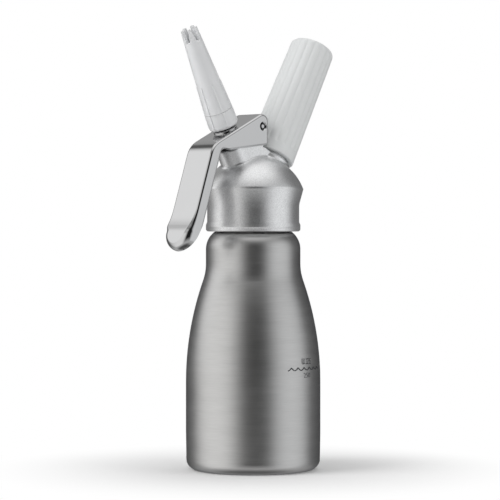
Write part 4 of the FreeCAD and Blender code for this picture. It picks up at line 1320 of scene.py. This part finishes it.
# ---- charger and seals ----
class DISPENSER_OT_charger(bpy.types.Operator):
    """Plates the gas charger and finishes the piercing unit."""

    bl_idname = "dispenser.charger"
    bl_label = "Charger"

    def execute(self, context):
        settings = context.scene.dispenser_charger
        for node, name, steel, roughness, gap, run, depth in (
                ("gas_charger", "plated_charger_steel", settings.steel, 0.22, 4e-4, 0.01, 1e-6),
                ("pin_housing", "turned_brass", settings.brass, 0.25, 2e-4, 0.005, 1e-6),
                ("piercing_pin", "ground_needle_steel", settings.steel, 0.2, 1e-4, 0.002, 5e-7)):
            dress(node, brushed_steel(name, steel, roughness, gap, run, depth, CHARGER_AXIS))
        dress("gas_filter", sintered_bronze("sintered_bronze", settings.bronze))
        return {"FINISHED"}


class DISPENSER_OT_seals(bpy.types.Operator):
    """Finishes the silicone gasket and the rubber seals."""

    bl_idname = "dispenser.seals"
    bl_label = "Seals"

    def execute(self, context):
        settings = context.scene.dispenser_seals
        silicone = grained_skin("moulded_silicone", settings.silicone, roughness=0.5,
                                grain=0.0004, depth=8e-6)
        rubber = grained_skin("black_rubber", settings.rubber, roughness=0.55,
                              grain=0.0003, depth=8e-6)
        for node in ("head_gasket", "nozzle_seal"):
            dress(node, silicone)
        for node in ("stem_o_ring", "valve_gasket", "charger_gasket", "charger_rest_pad",
                     "check_valve_sleeve"):
            dress(node, rubber)
        return {"FINISHED"}


# ---- panel, registration and the run ----
OPERATORS = (
    DISPENSER_OT_stage,
    DISPENSER_OT_bottle,
    DISPENSER_OT_fill_mark,
    DISPENSER_OT_head,
    DISPENSER_OT_lever,
    DISPENSER_OT_valve,
    DISPENSER_OT_nozzle,
    DISPENSER_OT_holder,
    DISPENSER_OT_charger,
    DISPENSER_OT_seals,
)


class DISPENSER_PT_pieces(bpy.types.Panel):
    """Lists the pieces of the dispenser and their sizes and colours."""

    bl_idname = "DISPENSER_PT_pieces"
    bl_label = "Cream Dispenser"
    bl_space_type = "VIEW_3D"
    bl_region_type = "UI"
    bl_category = "Dispenser"

    def draw(self, context):
        for operator in OPERATORS:
            self.layout.operator(operator.bl_idname)
        for attribute in SETTINGS:
            box = self.layout.box()
            group = getattr(context.scene, attribute)
            for key in group.__annotations__:
                box.prop(group, key)


def register():
    for attribute, settings in SETTINGS.items():
        bpy.utils.register_class(settings)
        setattr(bpy.types.Scene, attribute, bpy.props.PointerProperty(type=settings))
    for operator in OPERATORS:
        bpy.utils.register_class(operator)
    bpy.utils.register_class(DISPENSER_PT_pieces)


def unregister():
    bpy.utils.unregister_class(DISPENSER_PT_pieces)
    for operator in reversed(OPERATORS):
        bpy.utils.unregister_class(operator)
    for attribute, settings in SETTINGS.items():
        delattr(bpy.types.Scene, attribute)
        bpy.utils.unregister_class(settings)


def main():
    register()
    bpy.ops.dispenser.stage()
    bpy.ops.dispenser.bottle()
    bpy.ops.dispenser.fill_mark()
    bpy.ops.dispenser.head()
    bpy.ops.dispenser.lever()
    bpy.ops.dispenser.valve()
    bpy.ops.dispenser.nozzle()
    bpy.ops.dispenser.holder()
    bpy.ops.dispenser.charger()
    bpy.ops.dispenser.seals()


if __name__ == "__main__":
    main()
